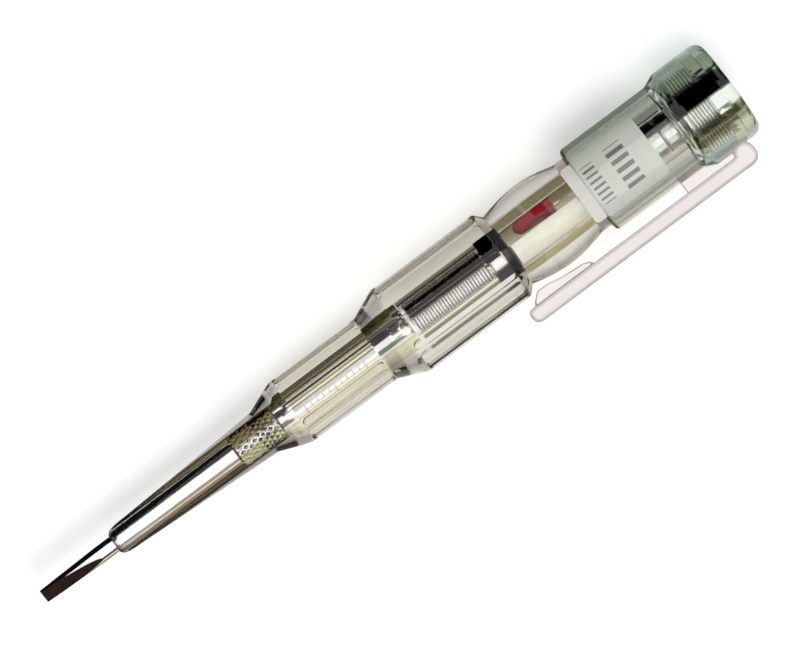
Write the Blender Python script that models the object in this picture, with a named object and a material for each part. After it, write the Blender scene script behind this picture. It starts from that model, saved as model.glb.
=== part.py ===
# Battery voltage-tester screwdriver with a clear moulded handle, a screw cap and a pocket clip.
# Metres, +Z up. The tool's axis is +X, from the middle of the blade's end at the origin to the cap.
# Two flats of the octagonal grips face +Z and -Z. The clip points to -Y, turned a little upwards.

from math import acos, atan2, cos, pi, radians, sin

import bmesh
import bpy
from mathutils import Matrix, Vector

MM = 0.001

# Clearances and limits shared by all pieces
SEAT_GAP = 0.3 * MM            # between pieces that seat on each other
MOULD_GAP = 0.2 * MM           # between a metal insert and the plastic moulded round it
SLIDE_GAP = 0.2 * MM           # radial, between a sliding piece and its bore
CUT_OVERRUN = 1.0 * MM         # how far every cutter passes the face that it opens
MERGE_DISTANCE = 0.001 * MM
EDGE_ROUND = 0.3 * MM

# How far the clip, the window side and the insides are turned about the axis from the flats
CLIP_TURN = radians(-10.5)
BLADE_TURN = radians(20.0)

# Blade and shank
SHANK_RADIUS = 1.5 * MM
BLADE_REACH = 14.4 * MM        # bare steel in front of the moulding
BLADE_EDGE_HALF_WIDTH = 1.2 * MM
BLADE_EDGE_HALF_THICKNESS = 0.3 * MM
BLADE_GRIND_LENGTH = 11.4 * MM
KNURL_INSET = 25.0 * MM        # from the nose of the moulding to the knurl
KNURL_LENGTH = 8.8 * MM
KNURL_RADIUS = 2.0 * MM
KNURL_DEPTH = 0.25 * MM
SHANK_HELD_LENGTH = 60.3 * MM  # inside the moulding

# Handle moulding, from the nose to the rear
NOSE_TIP_RADIUS = 1.95 * MM
NOSE_ROUND_LENGTH = 3.9 * MM
NOSE_ROUND_RADIUS = 2.6 * MM
NOSE_TAPER_LENGTH = 26.6 * MM
NOSE_END_RADIUS = 3.95 * MM
FRONT_FLARE_LENGTH = 5.3 * MM
FRONT_GRIP_RADIUS = 6.04 * MM
FRONT_FLAT_DEPTH = 0.49 * MM   # from the round to the middle of a flat
FRONT_GRIP_LENGTH = 17.4 * MM
REAR_FLARE_LENGTH = 5.1 * MM
REAR_GRIP_RADIUS = 8.21 * MM
REAR_FLAT_DEPTH = 0.66 * MM    # from the round to the middle of a flat
REAR_GRIP_LENGTH = 20.6 * MM
FRONT_GRIP_LAND = 0.65 * MM    # round land between the front flare and the flats
GRIP_END_LAND = 0.2 * MM       # round land at the other ends of the flats
NECK_CHAMFER_LENGTH = 1.3 * MM
NECK_RADIUS = 6.8 * MM
WINDOW_LENGTH = 14.1 * MM
WINDOW_RISE = 1.08 * MM
TUBE_RADIUS = 6.75 * MM
TUBE_END_CHAMFER = 0.4 * MM

# Contact spring
SPRING_WIRE = 0.4 * MM
SPRING_OUTER_RADIUS = 2.75 * MM
SPRING_PITCH = 0.86 * MM

# Front contact, a cup with a flange
CUP_LENGTH = 3.0 * MM
CUP_WALL = 0.35 * MM
FLANGE_THICKNESS = 0.4 * MM
FLANGE_LEAD = 0.9 * MM         # the flange lies this far in front of the window

# Insulating washer behind the front contact
WASHER_THICKNESS = 0.8 * MM
WASHER_HOLE_RADIUS = 1.0 * MM

# Carrier of the lamp and the electronics
CARRIER_FLAT_DEPTH = 0.5 * MM  # the flat lies this far on the clip side of the axis
CARRIER_END_WALL = 0.8 * MM
POCKET_LENGTH = 6.4 * MM
POCKET_DEPTH = 1.0 * MM

# Indicator lamp
LAMP_SETBACK = 2.2 * MM        # from the front of the carrier to the dome
LAMP_RADIUS = 1.4 * MM
LAMP_LENGTH = 6.7 * MM
LAMP_RIM_RADIUS = 1.7 * MM
LAMP_RIM_LENGTH = 0.9 * MM
LAMP_WALL_GAP = 0.05 * MM      # from the chamber to the rim, if the lamp lay straight
LAMP_TILT = radians(-2.5)

# Transistor and resistor
TRANSISTOR_RADIUS = 2.2 * MM
TRANSISTOR_LENGTH = 4.6 * MM
TRANSISTOR_FACE = 1.2 * MM     # middle to the flat side
TRANSISTOR_SETBACK = 0.9 * MM  # from the front of its pocket
TRANSISTOR_LEAD = 5.2 * MM     # from the lamp to the transistor
RESISTOR_RADIUS = 0.9 * MM
RESISTOR_WAIST_RADIUS = 0.75 * MM
RESISTOR_LENGTH = 3.6 * MM
RESISTOR_CAP_LENGTH = 0.8 * MM
RESISTOR_LEAD = 1.7 * MM       # from the transistor to the resistor

# Wires of the circuit
LEAD_RADIUS = 0.2 * MM
LEAD_SPREAD = 0.65 * MM        # half the distance between the lamp's two leads
WIRE_PASS_GAP = 0.35 * MM      # from the transistor to a wire that passes beside it
SIDE_WIRE_HEIGHT = 0.35 * MM
WIRE_KICK = 1.0 * MM           # length of the slanted stretch at a bend
TAIL_WIRE_OFFSET = 0.9 * MM
TAIL_WIRE_LENGTH = 1.4 * MM

# Disc that touches the first cell
DISC_INSET = 0.15 * MM         # its edge lies this far inside the cells' edge
DISC_THICKNESS = 0.4 * MM

# Button cells
CELL_RADIUS = 3.35 * MM
CELL_LENGTH = 2.6 * MM
CELL_SETBACK = 0.6 * MM        # from the end of the tube to the rear cell
CELL_CAN_WALL = 0.25 * MM
CELL_PART_GAP = 0.2 * MM
CELL_SEAL_WALL = 0.25 * MM
CELL_LIP = 0.3 * MM            # the lid stands this far out of the can
CELL_EDGE = 0.2 * MM

# Label on the tube
LABEL_LENGTH = 14.9 * MM
LABEL_LEAD = 0.3 * MM          # from the window's end to the label
LABEL_THICKNESS = 0.1 * MM
LABEL_GAP = 0.1 * MM
LABEL_HALF_ANGLE = radians(50.0)

# Screw cap
MOUTH_SETBACK = 2.1 * MM       # from the window's end to the mouth of the cap
SLEEVE_WALL = 0.9 * MM
MOUTH_ROUND = 0.75 * MM
HEAD_FLARE_LENGTH = 2.1 * MM
HEAD_STEP = 1.0 * MM           # from the sleeve's round to the head's
HEAD_LENGTH = 7.3 * MM
HEAD_ROUND_LENGTH = 2.1 * MM
HEAD_ROUND_DEPTH = 1.55 * MM
SLEEVE_PAST_TUBE = 0.7 * MM    # the flare starts this far before the end of the tube

# Contact plug in the cap
PLUG_NOSE_RADIUS = 2.2 * MM
PLUG_NOSE_LENGTH = 1.7 * MM
PLUG_BARREL_RADIUS = 5.1 * MM
PLUG_BARREL_LENGTH = 5.1 * MM
PLUG_FLANGE_RADIUS = 5.6 * MM
PLUG_FLANGE_LENGTH = 2.2 * MM
PLUG_END_RADIUS = 5.0 * MM
PLUG_PROUD = 0.2 * MM
PLUG_CHAMFER = 0.3 * MM

# Pocket clip
CLIP_SPACE = 1.95 * MM         # from the sleeve to the inner side of the bar
CLIP_THICKNESS = 2.7 * MM
CLIP_HALF_WIDTH = 2.4 * MM
CLIP_REACH = 3.5 * MM          # the arm reaches this far in front of the window
CLIP_ROOT_LENGTH = 13.2 * MM
CLIP_ROOT_SETBACK = 2.9 * MM   # from the end of the cap to the root
CLIP_END_ROUND = 0.9 * MM
CLIP_EDGE_ROUND = 0.35 * MM
ROOT_SINK = 0.5 * MM           # how far the root reaches into the sleeve's wall
NUB_HALF_WIDTH = 1.6 * MM
NUB_SETBACK = 1.5 * MM         # from the clip's free end to the nub
NUB_CLEARANCE = 0.3 * MM       # over the window's bulge
NUB_RAMP_LENGTH = 1.9 * MM
NUB_CREST_LENGTH = 2.2 * MM
NUB_SLOPE_LENGTH = 2.6 * MM
NUB_SLOPE_RISE = 0.55 * MM
NUB_TAIL_LENGTH = 4.0 * MM
NUB_TAIL_RISE = 0.25 * MM
NUB_END_LENGTH = 1.4 * MM

# Facet counts
ROUND_FACETS = 48
SHANK_FACETS = 24
SMALL_FACETS = 20
ARC_STEPS = 5
WINDOW_STEPS = 12
KNURL_ROWS = 10
SPRING_POINTS_PER_TURN = 9

# Places along the axis that follow from the sizes
nose_x = BLADE_REACH
nose_round_x = nose_x + NOSE_ROUND_LENGTH
nose_end_x = nose_round_x + NOSE_TAPER_LENGTH
front_grip_x = nose_end_x + FRONT_FLARE_LENGTH
front_grip_end_x = front_grip_x + FRONT_GRIP_LENGTH
rear_grip_x = front_grip_end_x + REAR_FLARE_LENGTH
rear_grip_end_x = rear_grip_x + REAR_GRIP_LENGTH
window_x = rear_grip_end_x + NECK_CHAMFER_LENGTH
window_end_x = window_x + WINDOW_LENGTH
knurl_x = nose_x + KNURL_INSET
knurl_end_x = knurl_x + KNURL_LENGTH
shank_end_x = nose_x + SHANK_HELD_LENGTH
spring_bore_x = shank_end_x + SEAT_GAP
flange_x = window_x - FLANGE_LEAD
shoulder_x = flange_x - SEAT_GAP
flange_end_x = flange_x + FLANGE_THICKNESS
cup_x = flange_x - CUP_LENGTH
washer_x = flange_end_x + SEAT_GAP
carrier_x = washer_x + WASHER_THICKNESS + SEAT_GAP
lamp_x = carrier_x + LAMP_SETBACK
transistor_x = lamp_x + LAMP_LENGTH + TRANSISTOR_LEAD
pocket_x = transistor_x - TRANSISTOR_SETBACK
resistor_x = transistor_x + TRANSISTOR_LENGTH + RESISTOR_LEAD
tail_wire_x = resistor_x + RESISTOR_LENGTH + CELL_PART_GAP
tail_wire_end_x = tail_wire_x + TAIL_WIRE_LENGTH
carrier_end_x = tail_wire_end_x + CELL_PART_GAP + CARRIER_END_WALL
disc_x = carrier_end_x + SEAT_GAP
first_cell_x = disc_x + DISC_THICKNESS + CELL_PART_GAP
cell_step = CELL_LENGTH + CELL_PART_GAP
cells_end_x = first_cell_x + cell_step + CELL_LENGTH
tube_end_x = cells_end_x + CELL_SETBACK
label_x = window_end_x + LABEL_LEAD
mouth_x = window_end_x + MOUTH_SETBACK
flare_x = tube_end_x - SLEEVE_PAST_TUBE
head_x = flare_x + HEAD_FLARE_LENGTH
head_round_x = head_x + HEAD_LENGTH
cap_end_x = head_round_x + HEAD_ROUND_LENGTH
sleeve_floor_x = tube_end_x + SEAT_GAP
plug_x = cells_end_x + CELL_PART_GAP
plug_barrel_x = plug_x + PLUG_NOSE_LENGTH
plug_flange_x = plug_barrel_x + PLUG_BARREL_LENGTH
plug_flange_end_x = plug_flange_x + PLUG_FLANGE_LENGTH
plug_end_x = cap_end_x + PLUG_PROUD
root_end_x = cap_end_x - CLIP_ROOT_SETBACK
root_x = root_end_x - CLIP_ROOT_LENGTH
clip_rear_x = root_x - SEAT_GAP
clip_front_x = window_x - CLIP_REACH

# Sizes across the axis that follow from the sizes
front_flat = FRONT_GRIP_RADIUS - FRONT_FLAT_DEPTH
rear_flat = REAR_GRIP_RADIUS - REAR_FLAT_DEPTH
spring_bore_radius = SPRING_OUTER_RADIUS + SLIDE_GAP
chamber_radius = CELL_RADIUS + SLIDE_GAP
lamp_middle_y = chamber_radius - LAMP_WALL_GAP - LAMP_RIM_RADIUS
transistor_middle_y = SEAT_GAP + TRANSISTOR_FACE - POCKET_DEPTH - CARRIER_FLAT_DEPTH
resistor_middle_y = SEAT_GAP + RESISTOR_RADIUS - CARRIER_FLAT_DEPTH
side_wire_offset = TRANSISTOR_RADIUS + WIRE_PASS_GAP + LEAD_RADIUS
label_radius = TUBE_RADIUS + LABEL_GAP
sleeve_bore_radius = label_radius + LABEL_THICKNESS + SLIDE_GAP
sleeve_radius = sleeve_bore_radius + SLEEVE_WALL
head_radius = sleeve_radius + HEAD_STEP
clip_inner = sleeve_radius + CLIP_SPACE
clip_outer = clip_inner + CLIP_THICKNESS
clip_middle = clip_inner + CLIP_THICKNESS / 2


def clear_scene():
    for old in list(bpy.data.objects):
        bpy.data.objects.remove(old, do_unlink=True)


def make_material(name, colour, roughness, metallic, alpha=1.0):
    material = bpy.data.materials.new(name)
    material.use_nodes = True
    shader = material.node_tree.nodes["Principled BSDF"]
    shader.inputs["Base Color"].default_value = (*colour, 1.0)
    shader.inputs["Roughness"].default_value = roughness
    shader.inputs["Metallic"].default_value = metallic
    shader.inputs["Alpha"].default_value = alpha
    return material


def finish_object(name, bm, material, turn=0.0):
    """Turn a bmesh into a smooth-shaded object that is turned about the tool's axis."""
    bmesh.ops.remove_doubles(bm, verts=bm.verts, dist=MERGE_DISTANCE)
    bmesh.ops.recalc_face_normals(bm, faces=bm.faces)
    mesh = bpy.data.meshes.new(name)
    bm.to_mesh(mesh)
    bm.free()
    mesh.shade_smooth()
    mesh.set_sharp_from_angle(angle=radians(30.0))
    mesh.materials.append(material)
    made = bpy.data.objects.new(name, mesh)
    made.rotation_euler.x = turn
    bpy.context.scene.collection.objects.link(made)
    return made


def revolve(outline, facets, ring=False, angle=2 * pi, start=0.0):
    """Spin an outline of (x, radius) points about the X axis."""
    bm = bmesh.new()
    verts = [bm.verts.new((x, radius, 0.0)) for x, radius in outline]
    edges = [bm.edges.new(pair) for pair in zip(verts, verts[1:])]
    if ring:
        edges.append(bm.edges.new((verts[-1], verts[0])))
    bmesh.ops.rotate(bm, verts=verts, cent=(0, 0, 0), matrix=Matrix.Rotation(start, 3, "X"))
    full_turn = angle == 2 * pi
    bmesh.ops.spin(
        bm, geom=verts + edges, cent=(0, 0, 0), axis=(1, 0, 0),
        angle=angle, steps=facets, use_merge=full_turn,
    )
    return bm


def extrude_side_view(outline, half_width, edge_round):
    """Extrude an outline of (x, y) points to both sides of Z = 0 and round its side edges."""
    bm = bmesh.new()
    face = bm.faces.new([bm.verts.new((x, y, -half_width)) for x, y in outline])
    grown = bmesh.ops.extrude_face_region(bm, geom=[face])["geom"]
    moved = [part for part in grown if isinstance(part, bmesh.types.BMVert)]
    bmesh.ops.translate(bm, verts=moved, vec=(0, 0, 2 * half_width))
    bmesh.ops.recalc_face_normals(bm, faces=bm.faces)
    side_edges = [
        edge for edge in bm.edges if edge.verts[0].co.z * edge.verts[1].co.z > 0
    ]
    bmesh.ops.bevel(
        bm, geom=side_edges, offset=edge_round, segments=2, affect="EDGES",
        profile=0.5, material=-1, clamp_overlap=True,
    )
    return bm


def box_between(low, high):
    """A box from its lowest to its highest corner."""
    bm = bmesh.new()
    size = [b - a for a, b in zip(low, high)]
    middle = [(a + b) / 2 for a, b in zip(low, high)]
    place = Matrix.Translation(middle) @ Matrix.Diagonal((*size, 1.0))
    bmesh.ops.create_cube(bm, size=1.0, matrix=place)
    return bm


def arc(middle, radius, start, end, steps=ARC_STEPS):
    """Points of an arc, its ends among them, in the plane of an outline."""
    angles = [start + (end - start) * step / steps for step in range(steps + 1)]
    return [(middle[0] + radius * cos(a), middle[1] + radius * sin(a)) for a in angles]


def apply_cut(target, cutter, operation="DIFFERENCE"):
    """Cut or join with a live Boolean, and keep the tool object out of the model."""
    cutter.hide_render = True
    cutter.display_type = "WIRE"
    change = target.modifiers.new(cutter.name, "BOOLEAN")
    change.operation = operation
    change.solver = "EXACT"
    change.object = cutter


def make_wire(name, points, radius, material, turn):
    """A round wire with closed ends along straight stretches."""
    curve = bpy.data.curves.new(name, "CURVE")
    curve.dimensions = "3D"
    curve.bevel_depth = radius
    curve.bevel_resolution = 1
    curve.use_fill_caps = True
    spline = curve.splines.new("POLY")
    spline.points.add(len(points) - 1)
    for slot, point in zip(spline.points, points):
        slot.co = (*point, 1.0)
    curve.materials.append(material)
    made = bpy.data.objects.new(name, curve)
    made.rotation_euler.x = turn
    bpy.context.scene.collection.objects.link(made)
    return made


def handle_outline():
    """The moulding's outer line from nose to rear, then its bores back to the nose."""
    line = []
    for step in range(ARC_STEPS + 1):
        share = step / ARC_STEPS
        rise = (NOSE_ROUND_RADIUS - NOSE_TIP_RADIUS) * sin(share * pi / 2)
        line.append((nose_x + NOSE_ROUND_LENGTH * share * share, NOSE_TIP_RADIUS + rise))
    line += [
        (nose_end_x, NOSE_END_RADIUS),
        (front_grip_x, FRONT_GRIP_RADIUS),
        (front_grip_end_x, FRONT_GRIP_RADIUS),
        (rear_grip_x, REAR_GRIP_RADIUS),
        (rear_grip_end_x, REAR_GRIP_RADIUS),
    ]
    for step in range(WINDOW_STEPS + 1):
        share = step / WINDOW_STEPS
        base = NECK_RADIUS + (TUBE_RADIUS - NECK_RADIUS) * share
        line.append((window_x + WINDOW_LENGTH * share, base + WINDOW_RISE * sin(pi * share)))
    line += [
        (tube_end_x - TUBE_END_CHAMFER, TUBE_RADIUS),
        (tube_end_x, TUBE_RADIUS - TUBE_END_CHAMFER),
        (tube_end_x, chamber_radius),
        (shoulder_x, chamber_radius),
        (shoulder_x, spring_bore_radius),
        (spring_bore_x, spring_bore_radius),
        (spring_bore_x, SHANK_RADIUS + MOULD_GAP),
        (knurl_end_x + MOULD_GAP, SHANK_RADIUS + MOULD_GAP),
        (knurl_end_x + MOULD_GAP, KNURL_RADIUS + MOULD_GAP),
        (knurl_x - MOULD_GAP, KNURL_RADIUS + MOULD_GAP),
        (knurl_x - MOULD_GAP, SHANK_RADIUS + MOULD_GAP),
        (nose_x, SHANK_RADIUS + MOULD_GAP),
    ]
    return line


def make_flats_cutter(name, start_x, end_x, flat, round_radius, material):
    """A collar with an octagonal bore, which planes eight flats on a round grip."""
    corner = flat / cos(pi / 8)
    outside = (round_radius + CUT_OVERRUN) / cos(pi / 8)
    outline = [(start_x, corner), (start_x, outside), (end_x, outside), (end_x, corner)]
    return finish_object(name, revolve(outline, 8, ring=True, start=pi / 8), material)


def make_handle(clear):
    handle = finish_object("handle", revolve(handle_outline(), ROUND_FACETS, ring=True), clear)
    front_tool = make_flats_cutter(
        "front_flats_tool", front_grip_x + FRONT_GRIP_LAND, front_grip_end_x - GRIP_END_LAND,
        front_flat, FRONT_GRIP_RADIUS, clear,
    )
    rear_tool = make_flats_cutter(
        "rear_flats_tool", rear_grip_x + GRIP_END_LAND, rear_grip_end_x - GRIP_END_LAND,
        rear_flat, REAR_GRIP_RADIUS, clear,
    )
    for tool in (front_tool, rear_tool):
        apply_cut(handle, tool)


def raise_knurl(bm):
    """Lift every second point of the band's grid, so that it becomes rows of small pyramids."""
    row_length = KNURL_LENGTH / KNURL_ROWS
    lift = KNURL_RADIUS / (KNURL_RADIUS - KNURL_DEPTH)
    for vert in bm.verts:
        if not knurl_x + row_length / 2 < vert.co.x < knurl_end_x - row_length / 2:
            continue
        row = round((vert.co.x - knurl_x) / row_length)
        column = round(atan2(vert.co.z, vert.co.y) * SHANK_FACETS / (2 * pi))
        if (row + column) % 2 == 0:
            vert.co.y *= lift
            vert.co.z *= lift


def make_blade(steel):
    """The shank with its knurl, ground to a wedge by two slanting cuts."""
    band_radius = KNURL_RADIUS - KNURL_DEPTH
    band = [(knurl_x + KNURL_LENGTH * row / KNURL_ROWS, band_radius) for row in range(KNURL_ROWS + 1)]
    outline = [
        (0.0, 0.0),
        (0.0, BLADE_EDGE_HALF_WIDTH),
        (BLADE_GRIND_LENGTH, SHANK_RADIUS),
        (knurl_x - MOULD_GAP, SHANK_RADIUS),
        *band,
        (knurl_end_x + MOULD_GAP, SHANK_RADIUS),
        (shank_end_x - EDGE_ROUND, SHANK_RADIUS),
        (shank_end_x, SHANK_RADIUS - EDGE_ROUND),
        (shank_end_x, 0.0),
    ]
    bm = revolve(outline, SHANK_FACETS)
    bmesh.ops.remove_doubles(bm, verts=bm.verts, dist=MERGE_DISTANCE)
    raise_knurl(bm)
    blade = finish_object("blade", bm, steel, BLADE_TURN)
    slope = (SHANK_RADIUS - BLADE_EDGE_HALF_THICKNESS) / BLADE_GRIND_LENGTH
    far_x = BLADE_GRIND_LENGTH + CUT_OVERRUN
    for name, side in (("upper_grind_tool", 1), ("lower_grind_tool", -1)):
        grind = bmesh.new()
        outline = [
            (-CUT_OVERRUN, side * (BLADE_EDGE_HALF_THICKNESS - slope * CUT_OVERRUN)),
            (far_x, side * (SHANK_RADIUS + slope * CUT_OVERRUN)),
            (-CUT_OVERRUN, side * (SHANK_RADIUS + slope * CUT_OVERRUN)),
        ]
        reach = SHANK_RADIUS + CUT_OVERRUN
        face = grind.faces.new([grind.verts.new((x, -reach, z)) for x, z in outline])
        grown = bmesh.ops.extrude_face_region(grind, geom=[face])["geom"]
        moved = [part for part in grown if isinstance(part, bmesh.types.BMVert)]
        bmesh.ops.translate(grind, verts=moved, vec=(0, 2 * reach, 0))
        apply_cut(blade, finish_object(name, grind, steel, BLADE_TURN))


def spring_points(start_x, end_x):
    """Middle line of the spring: straight ends one wire long, and a helix between them."""
    helix_radius = SPRING_OUTER_RADIUS - SPRING_WIRE / 2
    helix_start = start_x + SPRING_WIRE
    helix_length = end_x - start_x - 2 * SPRING_WIRE
    turns = round(helix_length / SPRING_PITCH)
    count = turns * SPRING_POINTS_PER_TURN
    points = [(start_x, helix_radius, 0.0)]
    for step in range(count + 1):
        angle = 2 * pi * step / SPRING_POINTS_PER_TURN
        x = helix_start + helix_length * step / count
        points.append((x, helix_radius * cos(angle), helix_radius * sin(angle)))
    points.append((end_x, helix_radius, 0.0))
    return points


def least_self_gap(points, wire):
    """Smallest distance between stretches of wire that are at least half a turn apart."""
    apart = SPRING_POINTS_PER_TURN // 2
    least = min(
        (Vector(a) - Vector(b)).length
        for place, a in enumerate(points)
        for b in points[place + apart:]
    )
    return least - wire


def make_spring(steel):
    points = spring_points(shank_end_x + SEAT_GAP, cup_x - SEAT_GAP)
    make_wire("contact_spring", points, SPRING_WIRE / 2, steel, CLIP_TURN)
    print("least gap of the spring to itself, mm:", round(least_self_gap(points, SPRING_WIRE) / MM, 3))


def make_front_contact(nickel):
    radius = spring_bore_radius - SLIDE_GAP
    flange_radius = chamber_radius - SEAT_GAP
    outline = [
        (cup_x, 0.0),
        (cup_x, radius - EDGE_ROUND),
        (cup_x + EDGE_ROUND, radius),
        (flange_x, radius),
        (flange_x, flange_radius),
        (flange_end_x, flange_radius),
        (flange_end_x, radius - CUP_WALL),
        (cup_x + CUP_WALL, radius - CUP_WALL),
        (cup_x + CUP_WALL, 0.0),
    ]
    finish_object("front_contact", revolve(outline, ROUND_FACETS // 2), nickel, CLIP_TURN)


def make_washer(black):
    radius = chamber_radius - SLIDE_GAP
    end_x = washer_x + WASHER_THICKNESS
    outline = [
        (washer_x, WASHER_HOLE_RADIUS), (washer_x, radius), (end_x, radius), (end_x, WASHER_HOLE_RADIUS),
    ]
    bm = revolve(outline, ROUND_FACETS // 2, ring=True)
    finish_object("insulating_washer", bm, black, CLIP_TURN)


def make_carrier(white):
    """A half-round bar with an end wall and a pocket for the transistor."""
    radius = chamber_radius - SLIDE_GAP
    outline = [(carrier_x, 0.0), (carrier_x, radius), (carrier_end_x, radius), (carrier_end_x, 0.0)]
    carrier = finish_object("lamp_carrier", revolve(outline, ROUND_FACETS // 2), white, CLIP_TURN)
    side = radius + CUT_OVERRUN
    open_top = box_between(
        (carrier_x - CUT_OVERRUN, -CARRIER_FLAT_DEPTH, -side),
        (carrier_end_x - CARRIER_END_WALL, side, side),
    )
    apply_cut(carrier, finish_object("carrier_top_tool", open_top, white, CLIP_TURN))
    pocket = box_between(
        (pocket_x, -CARRIER_FLAT_DEPTH - POCKET_DEPTH, -side),
        (pocket_x + POCKET_LENGTH, CUT_OVERRUN, side),
    )
    apply_cut(carrier, finish_object("carrier_pocket_tool", pocket, white, CLIP_TURN))


def lamp_point(along, across=0.0):
    """A point of the tilted lamp, given along and across its own axis, as (x, y)."""
    return (
        lamp_x + along * cos(LAMP_TILT) - across * sin(LAMP_TILT),
        lamp_middle_y + along * sin(LAMP_TILT) + across * cos(LAMP_TILT),
    )


def make_lamp(red):
    rim_x = LAMP_LENGTH - LAMP_RIM_LENGTH
    dome = arc((LAMP_RADIUS, 0.0), LAMP_RADIUS, pi, pi / 2)
    outline = dome + [
        (rim_x, LAMP_RADIUS), (rim_x, LAMP_RIM_RADIUS),
        (LAMP_LENGTH, LAMP_RIM_RADIUS), (LAMP_LENGTH, 0.0),
    ]
    bm = revolve(outline, SMALL_FACETS)
    x, y = lamp_point(0.0)
    place = Matrix.Translation((x, y, 0.0)) @ Matrix.Rotation(LAMP_TILT, 4, "Z")
    bmesh.ops.transform(bm, matrix=place, verts=bm.verts)
    finish_object("indicator_lamp", bm, red, CLIP_TURN)


def make_transistor(black):
    """A rod with one flat side, lying on the floor of the carrier's pocket."""
    flat_angle = acos(TRANSISTOR_FACE / TRANSISTOR_RADIUS)
    profile = arc(
        (0.0, 0.0), TRANSISTOR_RADIUS, flat_angle - pi / 2, 3 * pi / 2 - flat_angle, 2 * ARC_STEPS
    )
    bm = bmesh.new()
    face = bm.faces.new([
        bm.verts.new((transistor_x, transistor_middle_y + y, z)) for z, y in profile
    ])
    grown = bmesh.ops.extrude_face_region(bm, geom=[face])["geom"]
    moved = [part for part in grown if isinstance(part, bmesh.types.BMVert)]
    bmesh.ops.translate(bm, verts=moved, vec=(TRANSISTOR_LENGTH, 0, 0))
    finish_object("transistor", bm, black, CLIP_TURN)


def make_resistor(beige):
    caps_x = RESISTOR_LENGTH - RESISTOR_CAP_LENGTH
    outline = [
        (0.0, 0.0),
        (0.0, RESISTOR_WAIST_RADIUS),
        (EDGE_ROUND, RESISTOR_RADIUS),
        (RESISTOR_CAP_LENGTH, RESISTOR_RADIUS),
        (RESISTOR_CAP_LENGTH + EDGE_ROUND, RESISTOR_WAIST_RADIUS),
        (caps_x - EDGE_ROUND, RESISTOR_WAIST_RADIUS),
        (caps_x, RESISTOR_RADIUS),
        (RESISTOR_LENGTH - EDGE_ROUND, RESISTOR_RADIUS),
        (RESISTOR_LENGTH, RESISTOR_WAIST_RADIUS),
        (RESISTOR_LENGTH, 0.0),
    ]
    bm = revolve(outline, SMALL_FACETS)
    place = Matrix.Translation((resistor_x, resistor_middle_y, 0.0))
    bmesh.ops.transform(bm, matrix=place, verts=bm.verts)
    finish_object("resistor", bm, beige, CLIP_TURN)


def make_wires(tinned):
    """The lamp's two leads, the wire from the front contact and the two tails to the disc."""
    lamp_end_x, lamp_end_y = lamp_point(LAMP_LENGTH + CELL_PART_GAP)
    transistor_end_x = transistor_x + TRANSISTOR_LENGTH
    into_x = transistor_x - CELL_PART_GAP
    out_x = transistor_end_x + CELL_PART_GAP
    middle_y = transistor_middle_y
    side_y = SIDE_WIRE_HEIGHT
    resistor_y = resistor_middle_y
    start_x = carrier_x + SEAT_GAP
    wires = (
        ("lamp_lead_near", [
            (lamp_end_x, lamp_end_y, LEAD_SPREAD),
            (lamp_end_x + WIRE_KICK, lamp_end_y, LEAD_SPREAD),
            (into_x - WIRE_KICK, side_y, side_wire_offset),
            (out_x, side_y, side_wire_offset),
            (resistor_x - WIRE_KICK, resistor_y, 0.0),
            (resistor_x - CELL_PART_GAP, resistor_y, 0.0),
        ]),
        ("lamp_lead_far", [
            (lamp_end_x, lamp_end_y, -LEAD_SPREAD),
            (lamp_end_x + WIRE_KICK, lamp_end_y, -LEAD_SPREAD),
            (into_x - WIRE_KICK, middle_y, -LEAD_SPREAD),
            (into_x, middle_y, -LEAD_SPREAD),
        ]),
        ("base_wire", [
            (start_x, side_y, -side_wire_offset),
            (into_x - 2 * WIRE_KICK, side_y, -side_wire_offset),
            (into_x - WIRE_KICK, middle_y, -3 * LEAD_SPREAD),
            (into_x, middle_y, -3 * LEAD_SPREAD),
        ]),
        ("emitter_wire", [
            (out_x, middle_y, -LEAD_SPREAD),
            (out_x + WIRE_KICK / 2, middle_y, -LEAD_SPREAD),
            (out_x + WIRE_KICK, side_y, -2 * TAIL_WIRE_OFFSET),
            (tail_wire_end_x, side_y, -2 * TAIL_WIRE_OFFSET),
        ]),
        ("resistor_tail", [
            (tail_wire_x, resistor_y, 0.0),
            (tail_wire_end_x, resistor_y, 0.0),
        ]),
    )
    for name, points in wires:
        make_wire(name, points, LEAD_RADIUS, tinned, CLIP_TURN)


def make_disc(brass):
    radius = CELL_RADIUS - DISC_INSET
    outline = [
        (disc_x, 0.0), (disc_x, radius),
        (disc_x + DISC_THICKNESS, radius), (disc_x + DISC_THICKNESS, 0.0),
    ]
    finish_object("cell_contact", revolve(outline, ROUND_FACETS // 2), brass, CLIP_TURN)


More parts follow.
